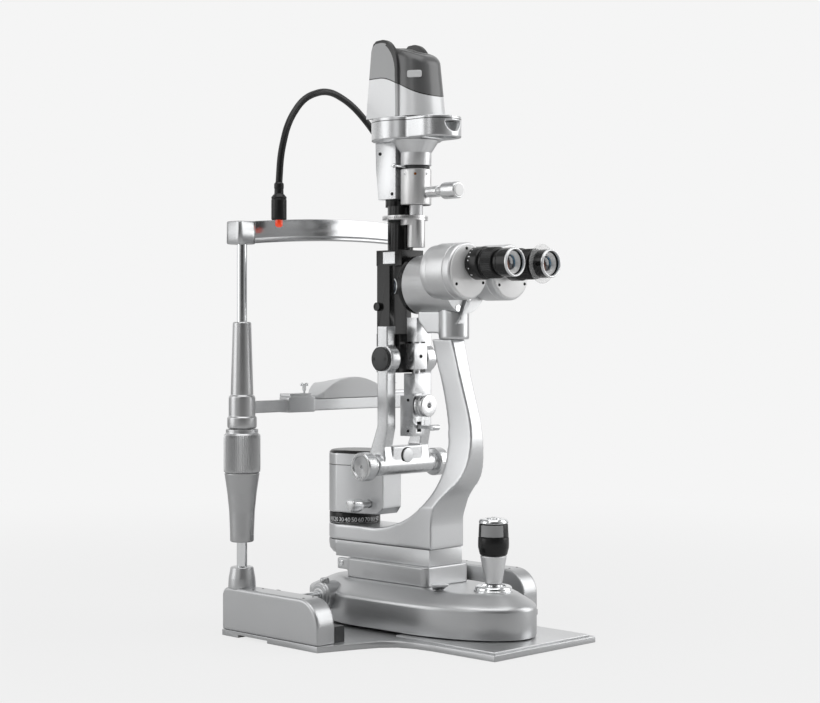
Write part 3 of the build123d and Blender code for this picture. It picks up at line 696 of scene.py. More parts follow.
class MakeJoystick(bpy.types.Operator):
    """The joystick: chrome socket ring, dark boot, satin cone, two-tone grip, chrome band and button."""
    bl_idname = "slit_lamp.joystick"
    bl_label = "Joystick"

    def execute(self, context):
        x, y, _ = middle("joystick_ball")
        foot = (x, y, 0)
        lathe("socket_ring", "joystick_socket", foot, Z_AXIS,
              [(22.3, 57.6), (22.3, 59.6), (21.2, 60.2), (20.6, 62.8), (18.6, 64.4), (15.8, 64.6),
               (14.2, 63.2), (13.6, 58.2)], "chrome", 1.0, ("joystick_socket",))
        lathe("boot", "joystick_socket", foot, Z_AXIS,
              [(13.6, 58.4), (13.2, 60.5), (11.6, 60.9), (11.2, 59.6), (10.2, 59.8), (8.2, 60.2)],
              "rubber", 0.6)
        lathe("cone", "joystick_cone", foot, Z_AXIS,
              [(8.3, 66.2), (9.6, 66.4), (10.1, 70), (14.8, 97.2), (14.2, 98.1), (7.0, 98.1),
               (7.0, 104), (0, 104)], "collar metal", 0.8, ("joystick_cone",))
        lathe("grip_lower", "joystick_grip", foot, Z_AXIS,
              [(7.1, 98.4), (14.2, 98.4), (15.4, 99.2), (17.3, 107), (17.45, 112), (17.2, 118.3),
               (16.8, 118.6), (10, 118.6)], "black", 0.6, ("joystick_grip",))
        lathe("grip_upper", "joystick_grip", foot, Z_AXIS,
              [(10, 118.5), (16.6, 118.6), (16.9, 119.2), (16.2, 133), (15.2, 133.6), (8, 133.8)],
              "soft black", 0.4)
        self.facet(foot)
        lathe("grip_band", "joystick_grip", foot, Z_AXIS,
              [(8.05, 133.7), (15.6, 133.7), (16.5, 134.3), (16.2, 136.6), (14.6, 138.8), (8.6, 139.1),
               (8.05, 138.4)], "chrome", 0.8)
        lathe("button_cap", "joystick_button", foot, Z_AXIS,
              [(0, 136.2), (7.6, 136.2), (7.7, 139.4), (6.6, 140.3), (3.4, 140.4), (2.8, 139.9), (0, 139.8)],
              "chrome", 0.5, ("joystick_button",))
        return {"FINISHED"}

    def facet(self, foot):
        """The pale panel on the grip: a closed (radius, height) section swept round part of a circle."""
        section = np.array([(16.6, 119.4), (17.35, 119.9), (16.9, 126), (16.65, 132.2), (16.0, 132.8),
                            (15.9, 132.8), (15.9, 119.4), (16.6, 119.4)]) * MM
        angle = np.linspace(math.radians(168), math.radians(262), 30)
        rows = [np.column_stack([foot[0] + radius * np.cos(angle), foot[1] + radius * np.sin(angle),
                                 np.full(30, height)]) for radius, height in section]
        wear(surface("grip_facet", np.array(rows), wrap=False), "grip facet", "joystick_grip")


class MakeHeadrest(bpy.types.Operator):
    """The headrest: fluted height grip, sleeve, crossbar, chin cup, forehead band and pad."""
    bl_idname = "slit_lamp.headrest"
    bl_label = "Headrest"
    bend_radius = 593.0

    def execute(self, context):
        x, y, _ = middle("headrest_post")
        foot = (x, y, 0)
        count = context.scene.slit_lamp_details.grip_flutes
        lathe("height_grip_cone", "height_grip", foot, Z_AXIS,
              [(6.1, 107.5), (12.6, 107.5), (13.6, 108.6), (13.7, 118), (14.6, 142), (16.7, 163),
               (19.6, 183), (20.2, 185.5), (19.4, 186.4), (6.1, 186.4)], "grip metal", 0.8,
              ("height_grip",))
        lathe("height_grip_flutes", "height_grip", foot, Z_AXIS,
              [(19.2, 186.6), (20.9, 188), (21.0, 192), (21.0, 210), (21.0, 226), (20.8, 229.6),
               (18.7, 231.6), (18.4, 233), (18.4, 236.4), (6.1, 236.4)], "sleeve metal", 0.5,
              around=count * 6, ripple=flutes(count, 0.035, 187.5, 229.8))
        lathe("sleeve_tube", "chin_sleeve", foot, Z_AXIS,
              [(6.1, 237), (15.2, 237), (16.7, 238.4), (16.8, 243), (16.8, 249.6), (15.4, 251), (15.2, 252),
               (15.2, 272.6), (14.4, 274.6), (12.9, 275.4), (12.9, 277.4), (10.6, 357.6), (9.6, 359),
               (6.1, 359)], "sleeve metal", 0.9, ("chin_sleeve",))
        cast_copy("chin_crossbar", "cast paint", 1.0, 8)
        cast_copy("chin_cup", "chin plastic", 0.9, 5)
        for name in ("paper_pin_left", "paper_pin_right"):
            px, py, _ = middle(name)
            lathe(name + "_cap", name, (px, py, 0), Z_AXIS,
                  [(0, 260), (1.2, 260), (1.2, 277), (2.2, 279), (2.2, 283.2), (4.8, 283.6), (4.9, 286.2),
                   (4.0, 287.3), (0, 287.5)], "chrome", 0.4, (name,),
                  around=96, ripple=flutes(24, 0.05, 283.4, 286.4))
        self.band()
        return {"FINISHED"}

    def course(self, xs):
        """The band's plan arc and crown: y = front + R - sqrt(R^2 - x^2), z = foot + 8 (1 - (x / 165)^2)."""
        front, foot = -2.0, 448
        bend = front + self.bend_radius - np.sqrt(self.bend_radius ** 2 - xs ** 2)
        return bend[:, None], (foot + 8 * (1 - (xs / 165) ** 2))[:, None]

    def band(self):
        """The band: a lipped section carried along its course; each row is the section at one X."""
        right_end, middle_height = 112, 13
        xs = np.linspace(-160, right_end, 80)
        bend, rise = self.course(xs)
        section = np.array([(0.6, 1.2), (-2.2, 0.4), (-3.4, 1.6), (-3.2, 3.4), (-1.2, 4.6), (0, 6), (0, 24.4),
                            (0.6, 25.6), (1.8, 26), (3.6, 26), (4.6, 25.6), (5, 24.8), (5, 2), (4.4, 0.6),
                            (3, 0)])
        depth, height = section.T
        slope = (xs / self.bend_radius)[:, None]
        end = np.clip((right_end - xs) / 3, 0.55, 1)[:, None]
        grid = np.stack([xs[:, None] - slope * depth, bend + depth * end,
                         rise + middle_height + (height - middle_height) * end], axis=-1)
        band = surface("band_strip", grid * MM, caps=True)
        wear(band, "band metal", "forehead_band", ("forehead_band",))
        self.bracket()
        self.pad(middle_height)

    def pad(self, middle_height):
        """The pad behind the band: a cushion section whose size falls off at both ends."""
        left, right, back = -119, 89, 5.2
        depth, height = np.array([(5.3, 3.2), (8.2, 3.6), (9.4, 5.4), (9.6, 13), (9.4, 20.4), (8.2, 22.4),
                                  (5.3, 22.8)]).T
        xs = np.linspace(left, right, 60)
        crown = (np.clip(np.minimum(xs - left, right - xs) / 6, 0.12, 1) ** 0.5)[:, None]
        bend, rise = self.course(xs)
        grid = np.stack([np.repeat(xs[:, None], len(depth), axis=1), bend + back + (depth - back) * crown,
                         rise + middle_height + (height - middle_height) * crown], axis=-1)
        pad = surface("pad_strip", grid * MM, caps=True)
        wear(pad, "pad silicone", "forehead_pad", ("forehead_pad",))

    def bracket(self):
        """The bracket that clamps the band on the post: a round-cornered plan stacked upwards."""
        t = np.linspace(0, math.tau, 96, endpoint=False)
        cos, sin = np.cos(t), np.sin(t)
        power = 0.28
        plan = np.column_stack([-169 + 13 * np.sign(cos) * np.abs(cos) ** power,
                                10.5 + 12.5 * np.sign(sin) * np.abs(sin) ** power, np.zeros(96)]) * MM
        block = prism("band_bracket", plan, [(2.4, 447.6), (0.7, 448.1), (0, 449.4), (0, 472.4), (0.7, 473.7),
                                             (2.4, 474.2)], Z_AXIS)
        wear(block, "band metal", "forehead_band")


class MakeFixation(bpy.types.Operator):
    """The fixation light: barrel with vent rings, red lens and the arm's mount."""
    bl_idname = "slit_lamp.fixation"
    bl_label = "Fixation light"

    def execute(self, context):
        x, y, _ = middle("fixation_lamp")
        foot = (x, y, 0)
        lathe("barrel", "fixation_lamp", foot, Z_AXIS,
              [(4.4, 476), (8.0, 476), (8.9, 477), (8.9, 499.4), (8.2, 500.2), (8.9, 501), (8.8, 502.4),
               (6.6, 505), (5.4, 506.2), (5.2, 512), (5.6, 512.6), (5.6, 517.6), (4.2, 519.4)],
              "soft black", 0.5, ("fixation_lamp",))
        lathe("lens_cap", "fixation_lens", foot, Z_AXIS,
              [(0, 467.4), (2.4, 467.8), (4.1, 469.3), (4.35, 471), (4.35, 476.4)], "red lens", 0.6,
              ("fixation_lens",))
        eased_copy("fixation_mount", "cast paint", 0.8)
        mount_x, mount_y, _ = JOINT_AT["fixation_swing"]
        lathe("mount_collar", "gooseneck", (mount_x, mount_y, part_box("fixation_mount")[1].z), Z_AXIS,
              [(4.1, 0.4), (6.6, 0.4), (6.8, 1.2), (6.8, 7.4), (5.8, 8.6), (4.3, 9.4)], "soft black")
        return {"FINISHED"}


class MakeArms(bpy.types.Operator):
    """Both arms and the column under them, the angle scale, the swing clamp and the slit-width knobs."""
    bl_idname = "slit_lamp.arms"
    bl_label = "Arms"

    def execute(self, context):
        eased_copy("column_head", "cast paint", 1.2)
        cast_copy("microscope_arm", "arm paint", 1.25, 10)
        cast_copy("illumination_housing", "box paint", 1.0, 8)
        cast_copy("illumination_fork", "fork paint", 0.9, 7)
        boss = np.array([0, -0.0899, 0.203])
        # A black disc set 0.9 mm to the left behind the boss: a painted shadow, showing as a dark crescent at
        # the boss's left side.
        lathe("fork_boss_seat", "illumination_fork", boss - (0.0009, 0, 0), -Y_AXIS,
              [(0, 0), (9.6, 0), (9.6, 0.4), (0, 0.4)], "black", 0.1)
        lathe("fork_boss", "illumination_fork", boss, -Y_AXIS,
              [(0, 0), (8.6, 0), (8.6, 1.2), (8.0, 1.6), (0, 1.6)], "fork paint", 0.3)
        self.scale()
        self.knobs(context.scene.slit_lamp_details.knob_flutes)
        return {"FINISHED"}

    def scale(self):
        """A black ring with numerals and ticks wrapped round it: angle = arc length / radius."""
        low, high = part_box("angle_scale_ring")
        radius, foot, top = high.x / MM - 0.4, low.z / MM, high.z / MM
        lathe("scale_ring", "angle_scale_ring", (0, 0, 0), Z_AXIS,
              [(12.1, foot), (radius, foot), (radius, top), (12.1, top)],
              "black", 0.4, ("angle_scale_ring",), around=128)
        ring = high.x + 0.00002
        zero, numeral_gap, tick_gap = 150, 15, 2.5
        numeral_foot, tick_foot, half_tick = 0.1212, 0.1188, 0.00016
        for step in range(-9, 10):
            numeral = wrapped_text(f"scale_{step + 9}", str(abs(step) * 10), 0.0072, ring,
                                   math.radians(zero + step * numeral_gap), numeral_foot)
            wear(numeral, "numeral white", "angle_scale_ring")
        steps = np.arange(-54, 55)
        turn = np.radians(zero + steps * tick_gap)[:, None]
        up, none = Z_AXIS * np.where(steps % 6 == 0, 0.0022, 0.0013)[:, None], 0 * turn
        side = np.hstack([-np.sin(turn), np.cos(turn), none]) * half_tick
        base = np.hstack([np.cos(turn) * ring, np.sin(turn) * ring, none + tick_foot])
        ticks = np.stack([base - side, base + side, base + side + up, base - side + up], axis=1)
        mesh = bpy.data.meshes.new("scale_ticks")
        corners = np.arange(4 * len(steps)).reshape(-1, 4)
        mesh.from_pydata(ticks.reshape(-1, 3).tolist(), [], corners.tolist())
        wear(place("scale_ticks", mesh), "numeral white", "angle_scale_ring")

    def knobs(self, count):
        """Two fluted slit-width knobs on one shaft, and the three-lobed swing clamp under them."""
        profile = [(0, 40), (5.0, 40), (5.0, 45.4), (10.4, 45.4), (10.6, 46), (10.6, 48.6), (9.6, 49),
                   (9.6, 50), (10.6, 50.4), (10.6, 52), (15.2, 52.2), (16.5, 53.2), (16.5, 56),
                   (16.5, 62), (16.5, 65.2), (15.4, 66.4), (12.6, 66.4), (12.0, 65.8), (12.0, 64.6),
                   (2.0, 64.4), (1.6, 62), (0, 62)]
        for side, name in SIDES:
            lathe("slit_knob_" + name, "slit_knobs", JOINT_AT["slit_width_turn"], X_AXIS * side, profile,
                  "slit knob metal", 0.4, ("slit_knobs",) if side < 0 else (),
                  around=count * 4, ripple=flutes(count, 0.010, 53.5, 64.8))
        clamp = JOINT_AT["swing_clamp_turn"] * (0, 1, 1)
        lathe("clamp_stem", "swing_clamp_knob", clamp, -X_AXIS,
              [(0, 14.5), (4.4, 14.5), (4.4, 31), (5.6, 31.6), (5.8, 36), (4.6, 36.6)],
              "slit knob metal")
        lathe("clamp_knob", "swing_clamp_knob", clamp, -X_AXIS,
              [(0, 33), (6.6, 33), (7.6, 34), (7.8, 41), (7.2, 48.6), (6.2, 49.8), (0, 50)],
              "slit knob metal", 0.8, ("swing_clamp_knob",), around=96,
              ripple=lambda a, h: 0.14 * np.cos(a * 3) * np.clip((h / MM - 33) / 4, 0, 1))


class MakeMicroscope(bpy.types.Operator):
    """The microscope: drum, objective bezel and lenses, bracket, prism boxes with end plates, lever."""
    bl_idname = "slit_lamp.microscope"
    bl_label = "Microscope"

    def execute(self, context):
        details = context.scene.slit_lamp_details
        small = details.screw_radius / MM
        eased_copy("microscope_drum", "drum metal", 0.7)
        cast_copy("microscope_bracket", "arm paint", 0.9, 6)
        scope = (0, 0, middle("objective_bezel")[2])
        lathe("bezel_ring", "objective_bezel", scope, Y_AXIS,
              [(0, -113.5), (33.9, -113.8), (34, -107.2), (33, -106.1), (29.6, -106.1), (29.0, -107.4),
               (0, -107.4)], "black", 0.4, ("objective_bezel",))
        # The objective lenses carry a painted purple reflection at one side and a painted dark blue
        # reflection at the other.
        lens_glass("objective glass", (0.02, 0.05, 0.12), (0.10, 0.03, 0.08), (0, 0, scope[2]), 0.03)
        for side, name in SIDES:
            centre = (side * 0.014, 0, scope[2])
            lathe(name + "_objective_rim", "objective_bezel", centre, Y_AXIS,
                  [(12.6, -107.6), (12.8, -106.6), (11.4, -106.2), (11.0, -107.6)], "chrome", 0.3)
            lathe(name + "_objective_lens", "objective_bezel", centre, Y_AXIS,
                  [(11.1, -107.6), (8, -106.9), (4, -106.4), (0, -106.2)], "objective glass", 0.2)
            self.prism_box(name, small)
        eased_copy("magnification_lever", "cast paint", 0.4)
        screw("plate_hex", "microscope_drum", (-0.0125, -0.1831, 0.3745), -Y_AXIS, 4.2, "chrome")
        screw("lever_pivot", "magnification_lever", (0.002, -0.1874, 0.386), -Y_AXIS, 3.0, "chrome")
        for side in (-1, 1):
            screw(signed("bracket_screw", side), "microscope_bracket",
                  (side * 0.009, -0.133, 0.3462), -Z_AXIS, 2.0, "chrome")
        return {"FINISHED"}

    def prism_box(self, name, small):
        """A prism box: turned shell with a ring seam, and an end plate held by three screws."""
        node = name + "_prism_housing"
        low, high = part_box(node)
        radius = (high.x - low.x) / 2 / MM
        axis_x, _, axis_z = middle(node)
        front, rear = high.y / MM, low.y / MM
        centre = (axis_x, 0, axis_z)
        seam = front - 26
        lathe(name + "_prism_shell", node, centre, Y_AXIS,
              [(0, front), (radius - 1.2, front), (radius, front - 1.4), (radius, seam),
               (radius - 0.5, seam - 0.3), (radius - 0.5, seam - 1), (radius, seam - 1.3),
               (radius, rear + 3.4), (radius - 1.0, rear + 1.6), (radius - 3.0, rear + 1.0), (0, rear + 1.0)],
              "drum metal", 0.3, (node,), around=128)
        plate = [(0, rear + 1.6), (radius - 2.2, rear + 1.6), (radius - 2.2, rear + 0.7),
                 (radius - 3.0, rear), (0, rear)]
        lathe(name + "_prism_plate", node, centre, Y_AXIS, plate, "white plate", 0.3, around=128)
        hole_circle = 0.0255
        for k, turn in enumerate((100, 215, 330)):
            a = math.radians(turn)
            hole = (axis_x + hole_circle * math.cos(a), rear * MM + 0.0001,
                    axis_z + hole_circle * math.sin(a))
            screw(f"{name}_plate_screw_{k}", node, hole, -Y_AXIS, small, "black screw")


class MakeEyepieces(bpy.types.Operator):
    """The eyepieces: black tubes, fluted rings, white marks, pale cups, coated lenses, clear guard."""
    bl_idname = "slit_lamp.eyepieces"
    bl_label = "Eyepieces"

    def execute(self, context):
        count = context.scene.slit_lamp_details.knob_flutes
        for _, name in SIDES:
            node = name + "_eyepiece"
            x, _, z = middle(node)
            centre = (x, 0, z)
            lathe(name + "_tube", node, centre, -Y_AXIS,
                  [(0, 222.3), (13.6, 222.3), (13.8, 227), (17.6, 227.6), (18.4, 229), (18.4, 242),
                   (17.4, 243.6), (15.6, 244), (15.6, 247), (16.6, 247.6)], "black", 0.5, (node,),
                  around=96)
            lathe(name + "_dioptre_ring", node, centre, -Y_AXIS,
                  [(15, 247.4), (16.8, 247.8), (17.3, 249), (17.3, 262), (16.6, 263.4), (14.8, 263.8)],
                  "soft black", 0.3, around=count * 4, ripple=flutes(count, 0.03, 248.6, 262.4))
            lathe(name + "_neck", node, centre, -Y_AXIS,
                  [(14.6, 263.4), (14.6, 268.6), (15.6, 269.6), (15.8, 271), (15.8, 283.4), (15.6, 284.8)],
                  "black", 0.4, around=96)
            lathe(name + "_cup_rim", node, centre, -Y_AXIS,
                  [(15.9, 283.2), (15.95, 284.8), (15.2, 286), (14.2, 286), (13.6, 285.2), (13.5, 283)],
                  "collar metal", 0.4, around=96)
            lathe(name + "_cup_inside", node, centre, -Y_AXIS,
                  [(13.7, 284.6), (13.2, 281.4), (12.6, 280.8)], "black", 0.2, around=96)
            lathe(name + "_cup_funnel", node, centre, -Y_AXIS,
                  [(12.8, 281.2), (12.2, 281.6), (8.6, 278.4), (8.2, 277.6)], "white plate", 0.4,
                  around=96)
            glass = name + " eye glass"
            # Each eye lens carries a painted amber reflection at one side and a painted blue reflection at
            # the other.
            lens_glass(glass, (0.01, 0.16, 0.30), (0.35, 0.10, 0.04), centre, 0.008)
            lathe(name + "_eye_lens", node, centre, -Y_AXIS,
                  [(8.4, 277.8), (6.6, 278.6), (4.4, 279.2), (2, 279.6), (0, 279.7)], glass, 0.1, around=96)
            self.marks(name, node, x, z)
        x, _, z = middle("right_eyepiece")
        lathe("eye_guard", "right_eyepiece", (x, 0, z), -Y_AXIS,
              [(15.8, 271.4), (21.6, 271.0), (22.2, 271.6), (21.6, 272.2), (15.8, 272.2)],
              "clear guard", 0.3, around=96)
        return {"FINISHED"}

    def marks(self, name, node, x, z):
        """White index strokes on the wide ring: small arched plates 0.05 mm proud of it."""
        inside, outside, near = 18.3, 18.46, 231
        for k, turn in enumerate((112, 128, 142, 158, 172, 200, 226)):
            a = math.radians(turn) + np.linspace(-0.035, 0.035, 5)
            far = near + (2.6 if k % 3 == 0 else 1.4)
            rows = [np.column_stack([x + r * MM * np.cos(a), np.full(5, -y * MM), z + r * MM * np.sin(a)])
                    for r, y in ((inside, near), (outside, near), (outside, far), (inside, far))]
            wear(surface(f"{name}_mark_{k}", np.array(rows), wrap=False), "numeral white", node)


class MakeTower(bpy.types.Operator):
    """The tilting tower: black columns, clamp, tail with its blocks, fork caps, knobs and latch."""
    bl_idname = "slit_lamp.tower"
    bl_label = "Tower"

    def execute(self, context):
        details = context.scene.slit_lamp_details
        ease = details.edge_ease / MM
        eased_copy("tower_columns", "black", ease)
        eased_copy("tower_tail", "fork paint", ease)
        eased_copy("tilt_latch", "fork paint", ease * 0.7)
        self.fork_caps()
        screws = [("clamp_screw", (-0.0182, -0.078, 0.434), -X_AXIS, 3.0),
                  ("tail_screw_high", (-0.0102, -0.101, 0.268), -X_AXIS, 1.7),
                  ("tail_screw_low", (-0.0102, -0.101, 0.232), -X_AXIS, 1.7),
                  ("block_screw", (0, -0.1122, 0.319), -Y_AXIS, 2.2)]
        for name, at, axis, radius in screws:
            screw(name, "tower_tail", at, axis, radius, "black screw")
        plate = np.array([(-0.0181, y * MM, z * MM) for y, z in
                          ((-88, 427), (-68, 427), (-68, 441), (-88, 441))])
        wear(prism("clamp_plate", plate, [(0, 0), (0, 0.5), (0.5, 0.9)], -X_AXIS), "fork paint",
             "tower_tail")
        centre = middle("centring_knob") * Z_AXIS
        lathe("centring_stem", "centring_knob", centre, -Y_AXIS,
              [(0, 99.2), (4.9, 99.2), (4.9, 110.4), (7, 110.8), (7, 113.4), (5, 113.8)],
              "knob metal", 0.3, ("centring_knob",))
        lathe("centring_wheel", "centring_knob", centre, -Y_AXIS,
              [(4, 112.6), (12.2, 112.6), (13.1, 113.6), (13.1, 119), (12.5, 119.3), (12.5, 119.9),
               (13.1, 120.2), (13.1, 124.6), (12.2, 125.5), (3.2, 125.7), (2.7, 125.1), (2.5, 122), (0, 122)],
              "knob metal", 0.3, around=details.knob_flutes * 4,
              ripple=flutes(details.knob_flutes, 0.014, 113.8, 118.8))
        return {"FINISHED"}

    def fork_caps(self):
        """The tilt pivots: dark discs with two spanner holes each, the holes shown as black spots of painted
        shade.
        """
        for side, name in SIDES:
            out = X_AXIS * side
            centre = JOINT_AT["tower_tilt"] + out * 0.0373
            lathe(name + "_pivot_cap", "tower_columns", centre, out,
                  [(0, 0), (14, 0), (14.2, 1.8), (13.2, 3.3), (0, 3.6)], "dark disc", 0.8)
            # Each spanner hole is a thin black disc on the cap's face: painted shade in place of the hole's
            # depth.
            for k, apart in enumerate((-0.0095, 0.0095)):
                lathe(f"{name}_cap_hole_{k}", "tower_columns", centre + out * 0.00345 + Y_AXIS * apart,
                      out, [(0, -0.2), (1.7, -0.2), (1.8, 0.12), (1.3, 0.3), (1.1, 0.1), (0, 0.1)],
                      "rubber", 0.1, around=32)


class MakeSlitHead(bpy.types.Operator):
    """The slit head: dial with ticks, drum, aperture knob, filter lever, filter box and lamp neck."""
    bl_idname = "slit_lamp.slit_head"
    bl_label = "Slit head"

    def execute(self, context):
        details = context.scene.slit_lamp_details
        ease = details.edge_ease / MM
        eased_copy("slit_dial", "dial", ease * 0.7)
        eased_copy("slit_drum", "slit drum skin", ease)
        eased_copy("filter_box", "fork paint", ease * 2.2)
        eased_copy("lamp_neck", "collar metal", ease)
        turn = JOINT_AT["filter_turn"]
        lathe("filter_lever_ball", "filter_lever", turn - (0.0385, 0, 0), X_AXIS,
              [(0, -0.4), (1.8, 0), (2.7, 2.2), (1.9, 4.4), (1.3, 5), (1.3, 22), (0, 22)],
              "chrome", 0.5, ("filter_lever",))
        lathe("filter_collar", "filter_lever", turn * (1, 1, 0), Z_AXIS,
              [(8.1, 537.3), (15.6, 537.3), (16, 538), (16, 540), (15.6, 540.7), (8.1, 540.7)],
              "dark disc", 0.3)
        centre = middle("aperture_knob") * Z_AXIS
        lathe("aperture_stem", "aperture_knob", centre, -Y_AXIS,
              [(0, 115.2), (3.9, 115.2), (3.9, 123), (6.3, 123.6), (6.6, 125), (6.6, 141), (6.2, 141.8),
               (5.2, 142), (5.2, 144.4), (6.4, 144.8), (6.4, 149)], "knob metal", 0.4,
              ("aperture_knob",))
        lathe("aperture_head", "aperture_knob", centre, -Y_AXIS,
              [(4, 148.6), (8.0, 149), (9.5, 150.8), (9.7, 153), (9.7, 171), (9.2, 172.6), (8.4, 173.2),
               (7.4, 173.2), (0, 173.3)], "knob metal", 0.4, around=details.knob_flutes * 4,
              ripple=flutes(details.knob_flutes, 0.012, 152.6, 166))
        lathe("aperture_face", "aperture_knob", centre, -Y_AXIS,
              [(0, 173.2), (7.4, 173.2), (7.6, 173.6), (7.0, 174), (0, 174)], "white plate", 0.3)
        screws = [("filter_box", (-0.0142, -0.058, 0.557), -X_AXIS, 2.0, "black screw"),
                  ("filter_box", (-0.0142, -0.0785, 0.509), -X_AXIS, 2.0, "black screw"),
                  ("slit_drum", (-0.0181, -0.104, 0.531), -X_AXIS, 1.5, "chrome"),
                  ("slit_drum", (-0.0001, -0.1221, 0.531), -Y_AXIS, 1.5, "chrome")]
        for k, (node, at, axis, radius, metal) in enumerate(screws):
            screw(f"head_screw_{k}", node, at, axis, radius, metal)
        return {"FINISHED"}


class MakeLamp(bpy.types.Operator):
    """The lamp head: ring with its finger loop, front cover, two side shells with dark rims, nameplate."""
    bl_idname = "slit_lamp.lamp"
    bl_label = "Lamp head"

    def execute(self, context):
        cast_copy("lamp_ring", "ring paint", 0.9, 6)
        self.front()
        for side in (-1, 1):
            self.side_shell(side)
        return {"FINISHED"}

    def plan(self, share, count=48):
        """The cover's plan at a share of its height: straight walls behind, an arc in front, mirrored."""
        half = 31.0 - 4.0 * share
        rear, corner, nose = -57 - 4 * share, -107 + 2 * share, -139 + 7 * share
        t = np.linspace(0, math.pi / 2, count)
        arc = np.column_stack([half * np.cos(t) ** 0.82, corner + (nose - corner) * np.sin(t)])
        wall = np.column_stack([np.full(12, half), np.linspace(rear - 6, corner, 12, endpoint=False)])
        s = np.linspace(0, math.pi / 2, 8)
        turn = np.column_stack([half - 6 + 6 * np.sin(s), rear - 6 + 6 * np.cos(s)])
        side = np.vstack([[(0, rear)], turn[:-1], wall, arc])
        return np.vstack([side, side[-2:0:-1] * (-1, 1)])

    def front(self):
        """Rings of the plan raised to a roof that falls to the front, then rolled over and closed.

        z = foot + share * (roof(y) - roll - foot), plus roll * sin(turn) on the rolled edge.
        """
        foot, ridge, drop, roll, half_plan = 596.4, 679, 15, 9.0, 34.0
        centre = np.array([0, -96.0])
        levels = [(share, 0.0) for share in np.linspace(0, 1, 24)[:-1]]
        levels += [(1.0, turn) for turn in np.radians([0, 15, 30, 45, 60, 75, 90])]
        rows = []
        for share, turn in levels:
            inset = roll * (1 - math.cos(turn))
            ring = centre + (self.plan(share) - centre) * (1 - inset / half_plan)
            roof = ridge - drop * np.clip((-80 - ring[:, 1]) / 52, 0, 1.2) ** 1.5
            rows.append(np.column_stack([ring, foot + share * (roof - roll - foot) + roll * math.sin(turn)]))
        edge, height = rows[-1][:, :2], rows[-1][:, 2]
        rows += [np.column_stack([centre + (edge - centre) * k, height]) for k in (0.6, 0.25)]
        cover = surface("front_cover", np.array(rows) * MM, caps=True)
        wear(cover, "cover front", "lamp_housing", ("lamp_housing",))
        self.nameplate()

    def nameplate(self):
        """A blank plate: a superellipse laid across the cover's corner, square to the normal there."""
        turn = np.linspace(0, math.tau, 48, endpoint=False)
        power, half_length, half_height = 0.35, 0.0085, 0.0042
        along = half_length * np.sign(np.cos(turn)) * np.abs(np.cos(turn)) ** power
        tall = half_height * np.sign(np.sin(turn)) * np.abs(np.sin(turn)) ** power
        normal = np.array([-0.83, -0.55, 0.08])
        normal /= np.linalg.norm(normal)
        across = np.cross(normal, Z_AXIS)
        across /= np.linalg.norm(across)
        centre = np.array([-0.0222, -0.1232, 0.6445])
        badge = centre + along[:, None] * across + tall[:, None] * np.cross(across, normal)
        wear(prism("blank_nameplate", badge, [(0, -1.6), (0, 0.4), (0.4, 0.8)], normal),
             "collar metal", "lamp_housing")

    def side_shell(self, side):
        """A side shell: a tall outline with a round shoulder, and a face inset inside a dark rim."""
        t = np.linspace(0, math.pi / 2, 20)
        low = np.array([(-55, 596.5), (-107.5, 596.5), (-106.4, 618), (-105, 640)])
        shoulder = np.column_stack([-76 - 28.6 * np.cos(t), 644 + 44.0 * np.sin(t)])
        back = np.array([(-67, 687.6), (-62.6, 684.4), (-60.5, 679)])
        shape = np.vstack([low, shoulder, back])
        y, z = shape.T
        outer = side * (32.4 - 3.4 * (z - 596) / 90)
        rows = []
        for inset, proud in [(0, -5), (0, -0.4), (0.5, 0.4), (3.4, 1.3), (3.8, 1.35)]:
            rows.append(np.column_stack([outer + side * proud, y + inset * (y < -86),
                                         z - inset * np.clip((z - 650) / 30, 0, 1)]))
        rim = surface(signed("shell_rim", side), np.array(rows) * MM, caps=True)
        wear(rim, "cover rim", "lamp_housing")
        face = np.array([rows[-1] - (side * 0.4, 0, 0), rows[-1] + (side * 0.05, 0, 0)])
        panel = surface(signed("shell_face", side), face * MM, caps=True)
        wear(panel, "cover side", "lamp_housing")


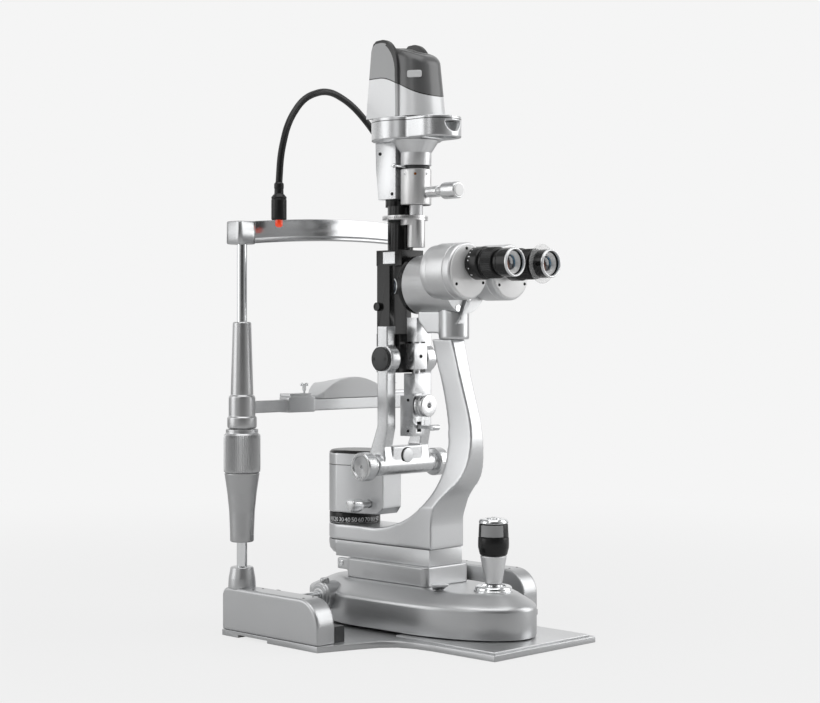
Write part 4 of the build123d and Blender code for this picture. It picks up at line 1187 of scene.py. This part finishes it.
class MakeStage(bpy.types.Operator):
    """The pale floor, the surroundings, the soft boxes and the camera."""
    bl_idname = "slit_lamp.stage"
    bl_label = "Stage"

    def execute(self, context):
        self.floor()
        self.world(context.scene)
        self.softbox("key", (1.7, -1.5, 1.15), 1.6, 2.2, 25.0)
        self.softbox("side", (-1.8, 1.1, 0.9), 1.5, 1.8, 12.0)
        self.softbox("top", (-0.3, -0.4, 2.1), 1.8, 1.8, 17.0)
        self.softbox("fill", (-1.9, -0.5, 1.3), 0.5, 1.6, 2.5)
        self.camera(context.scene)
        context.scene.view_settings.view_transform = "Standard"
        return {"FINISHED"}

    def floor(self):
        """A disc that the eye sees as the backdrop and the light sees as a dull floor."""
        t = np.linspace(0, math.tau, 96, endpoint=False)
        rows = [np.column_stack([np.cos(t) * r, np.sin(t) * r, 0 * t]) for r in (0.0, 0.5, 4.0, 60.0)]
        ground = surface("floor", np.array(rows))
        ground.location.z = -0.0002
        s = Shader("pale floor")
        seen = s.node("ShaderNodeLightPath")
        dull = s.node("ShaderNodeBsdfDiffuse", {}, {"Color": grey(0.62)})
        glow = s.node("ShaderNodeEmission", {}, {"Color": grey(1.0), "Strength": BACKDROP})
        out = s.node("ShaderNodeVectorMath", {"operation": "LENGTH"}, {0: s.place}, output=1)
        share = s.smooth_step(out, 0.3, 1.6, 0.84, 1.0)
        s.close(s.node("ShaderNodeMixShader", {}, {0: seen * share, 1: dull, 2: glow}))
        ground.data.materials.append(s.material)

    def world(self, scene):
        """The backdrop to the eye; as light, a glow dark about the view and bright on the far side."""
        scene.world = bpy.data.worlds.new("studio")
        sky = NodeTree(scene.world)
        where = sky.node("ShaderNodeTexCoord", output="Generated")
        facing = sky.node("ShaderNodeVectorMath", {"operation": "DOT_PRODUCT"},
                          {0: where, 1: (-0.58, -0.81, 0.10)}, output=1)
        dark = sky.smooth_step(facing, 0.70, 0.96)
        far = sky.smooth_step(facing, -0.2, -0.85)
        seen = sky.node("ShaderNodeLightPath")
        strength = (0.42 - dark * 0.36 + far * 0.5) * (1 - seen) + seen * BACKDROP
        sky.close(sky.node("ShaderNodeBackground", {}, {"Color": grey(1.0), "Strength": strength}),
                  "ShaderNodeOutputWorld")

    def softbox(self, name, at, width, height, power):
        """A rectangular light turned to the middle of the object."""
        light = bpy.data.lights.new(name, "AREA")
        light.shape = "RECTANGLE"
        light.size = width
        light.size_y = height
        light.energy = power
        lamp = bpy.data.objects.new(name, light)
        lamp.location = at
        lamp.rotation_euler = (Vector((0, -0.08, 0.32)) - Vector(at)).to_track_quat("-Z", "Y").to_euler()
        bpy.context.scene.collection.objects.link(lamp)

    def camera(self, scene):
        """A level view from the front left, shifted down instead of tilted."""
        view = bpy.data.cameras.new("view")
        view.lens = 77.0
        view.sensor_width = 36.0
        view.shift_y = -0.0287
        view.clip_end = 200.0
        camera = bpy.data.objects.new("view", view)
        camera.location = (-1.452, -1.546, 0.352)
        camera.rotation_euler = (math.pi / 2, 0, -math.pi / 4)
        scene.collection.objects.link(camera)
        scene.camera = camera


STEPS = (MakeFinishes, MakeBase, MakeHousing, MakeJoystick, MakeHeadrest, MakeFixation, MakeArms,
         MakeMicroscope, MakeEyepieces, MakeTower, MakeSlitHead, MakeLamp, MakeStage)


class SlitLampPanel(bpy.types.Panel):
    """Lists the steps and the values they use."""
    bl_idname = "VIEW3D_PT_slit_lamp"
    bl_label = "Slit lamp"
    bl_space_type = "VIEW_3D"
    bl_region_type = "UI"
    bl_category = "Slit lamp"

    def draw(self, context):
        for group in (context.scene.slit_lamp_finishes, context.scene.slit_lamp_details):
            for key in group.__annotations__:
                self.layout.prop(group, key)
        for step in STEPS:
            self.layout.operator(step.bl_idname)


CLASSES = (SlitLampFinishes, SlitLampDetails, *STEPS, SlitLampPanel)


def register():
    for each in CLASSES:
        bpy.utils.register_class(each)
    bpy.types.Scene.slit_lamp_finishes = bpy.props.PointerProperty(type=SlitLampFinishes)
    bpy.types.Scene.slit_lamp_details = bpy.props.PointerProperty(type=SlitLampDetails)


def unregister():
    del bpy.types.Scene.slit_lamp_details
    del bpy.types.Scene.slit_lamp_finishes
    for each in reversed(CLASSES):
        bpy.utils.unregister_class(each)


def main():
    register()
    for step in STEPS:
        getattr(bpy.ops.slit_lamp, step.bl_idname.split(".")[1])()


if __name__ == "__main__":
    main()
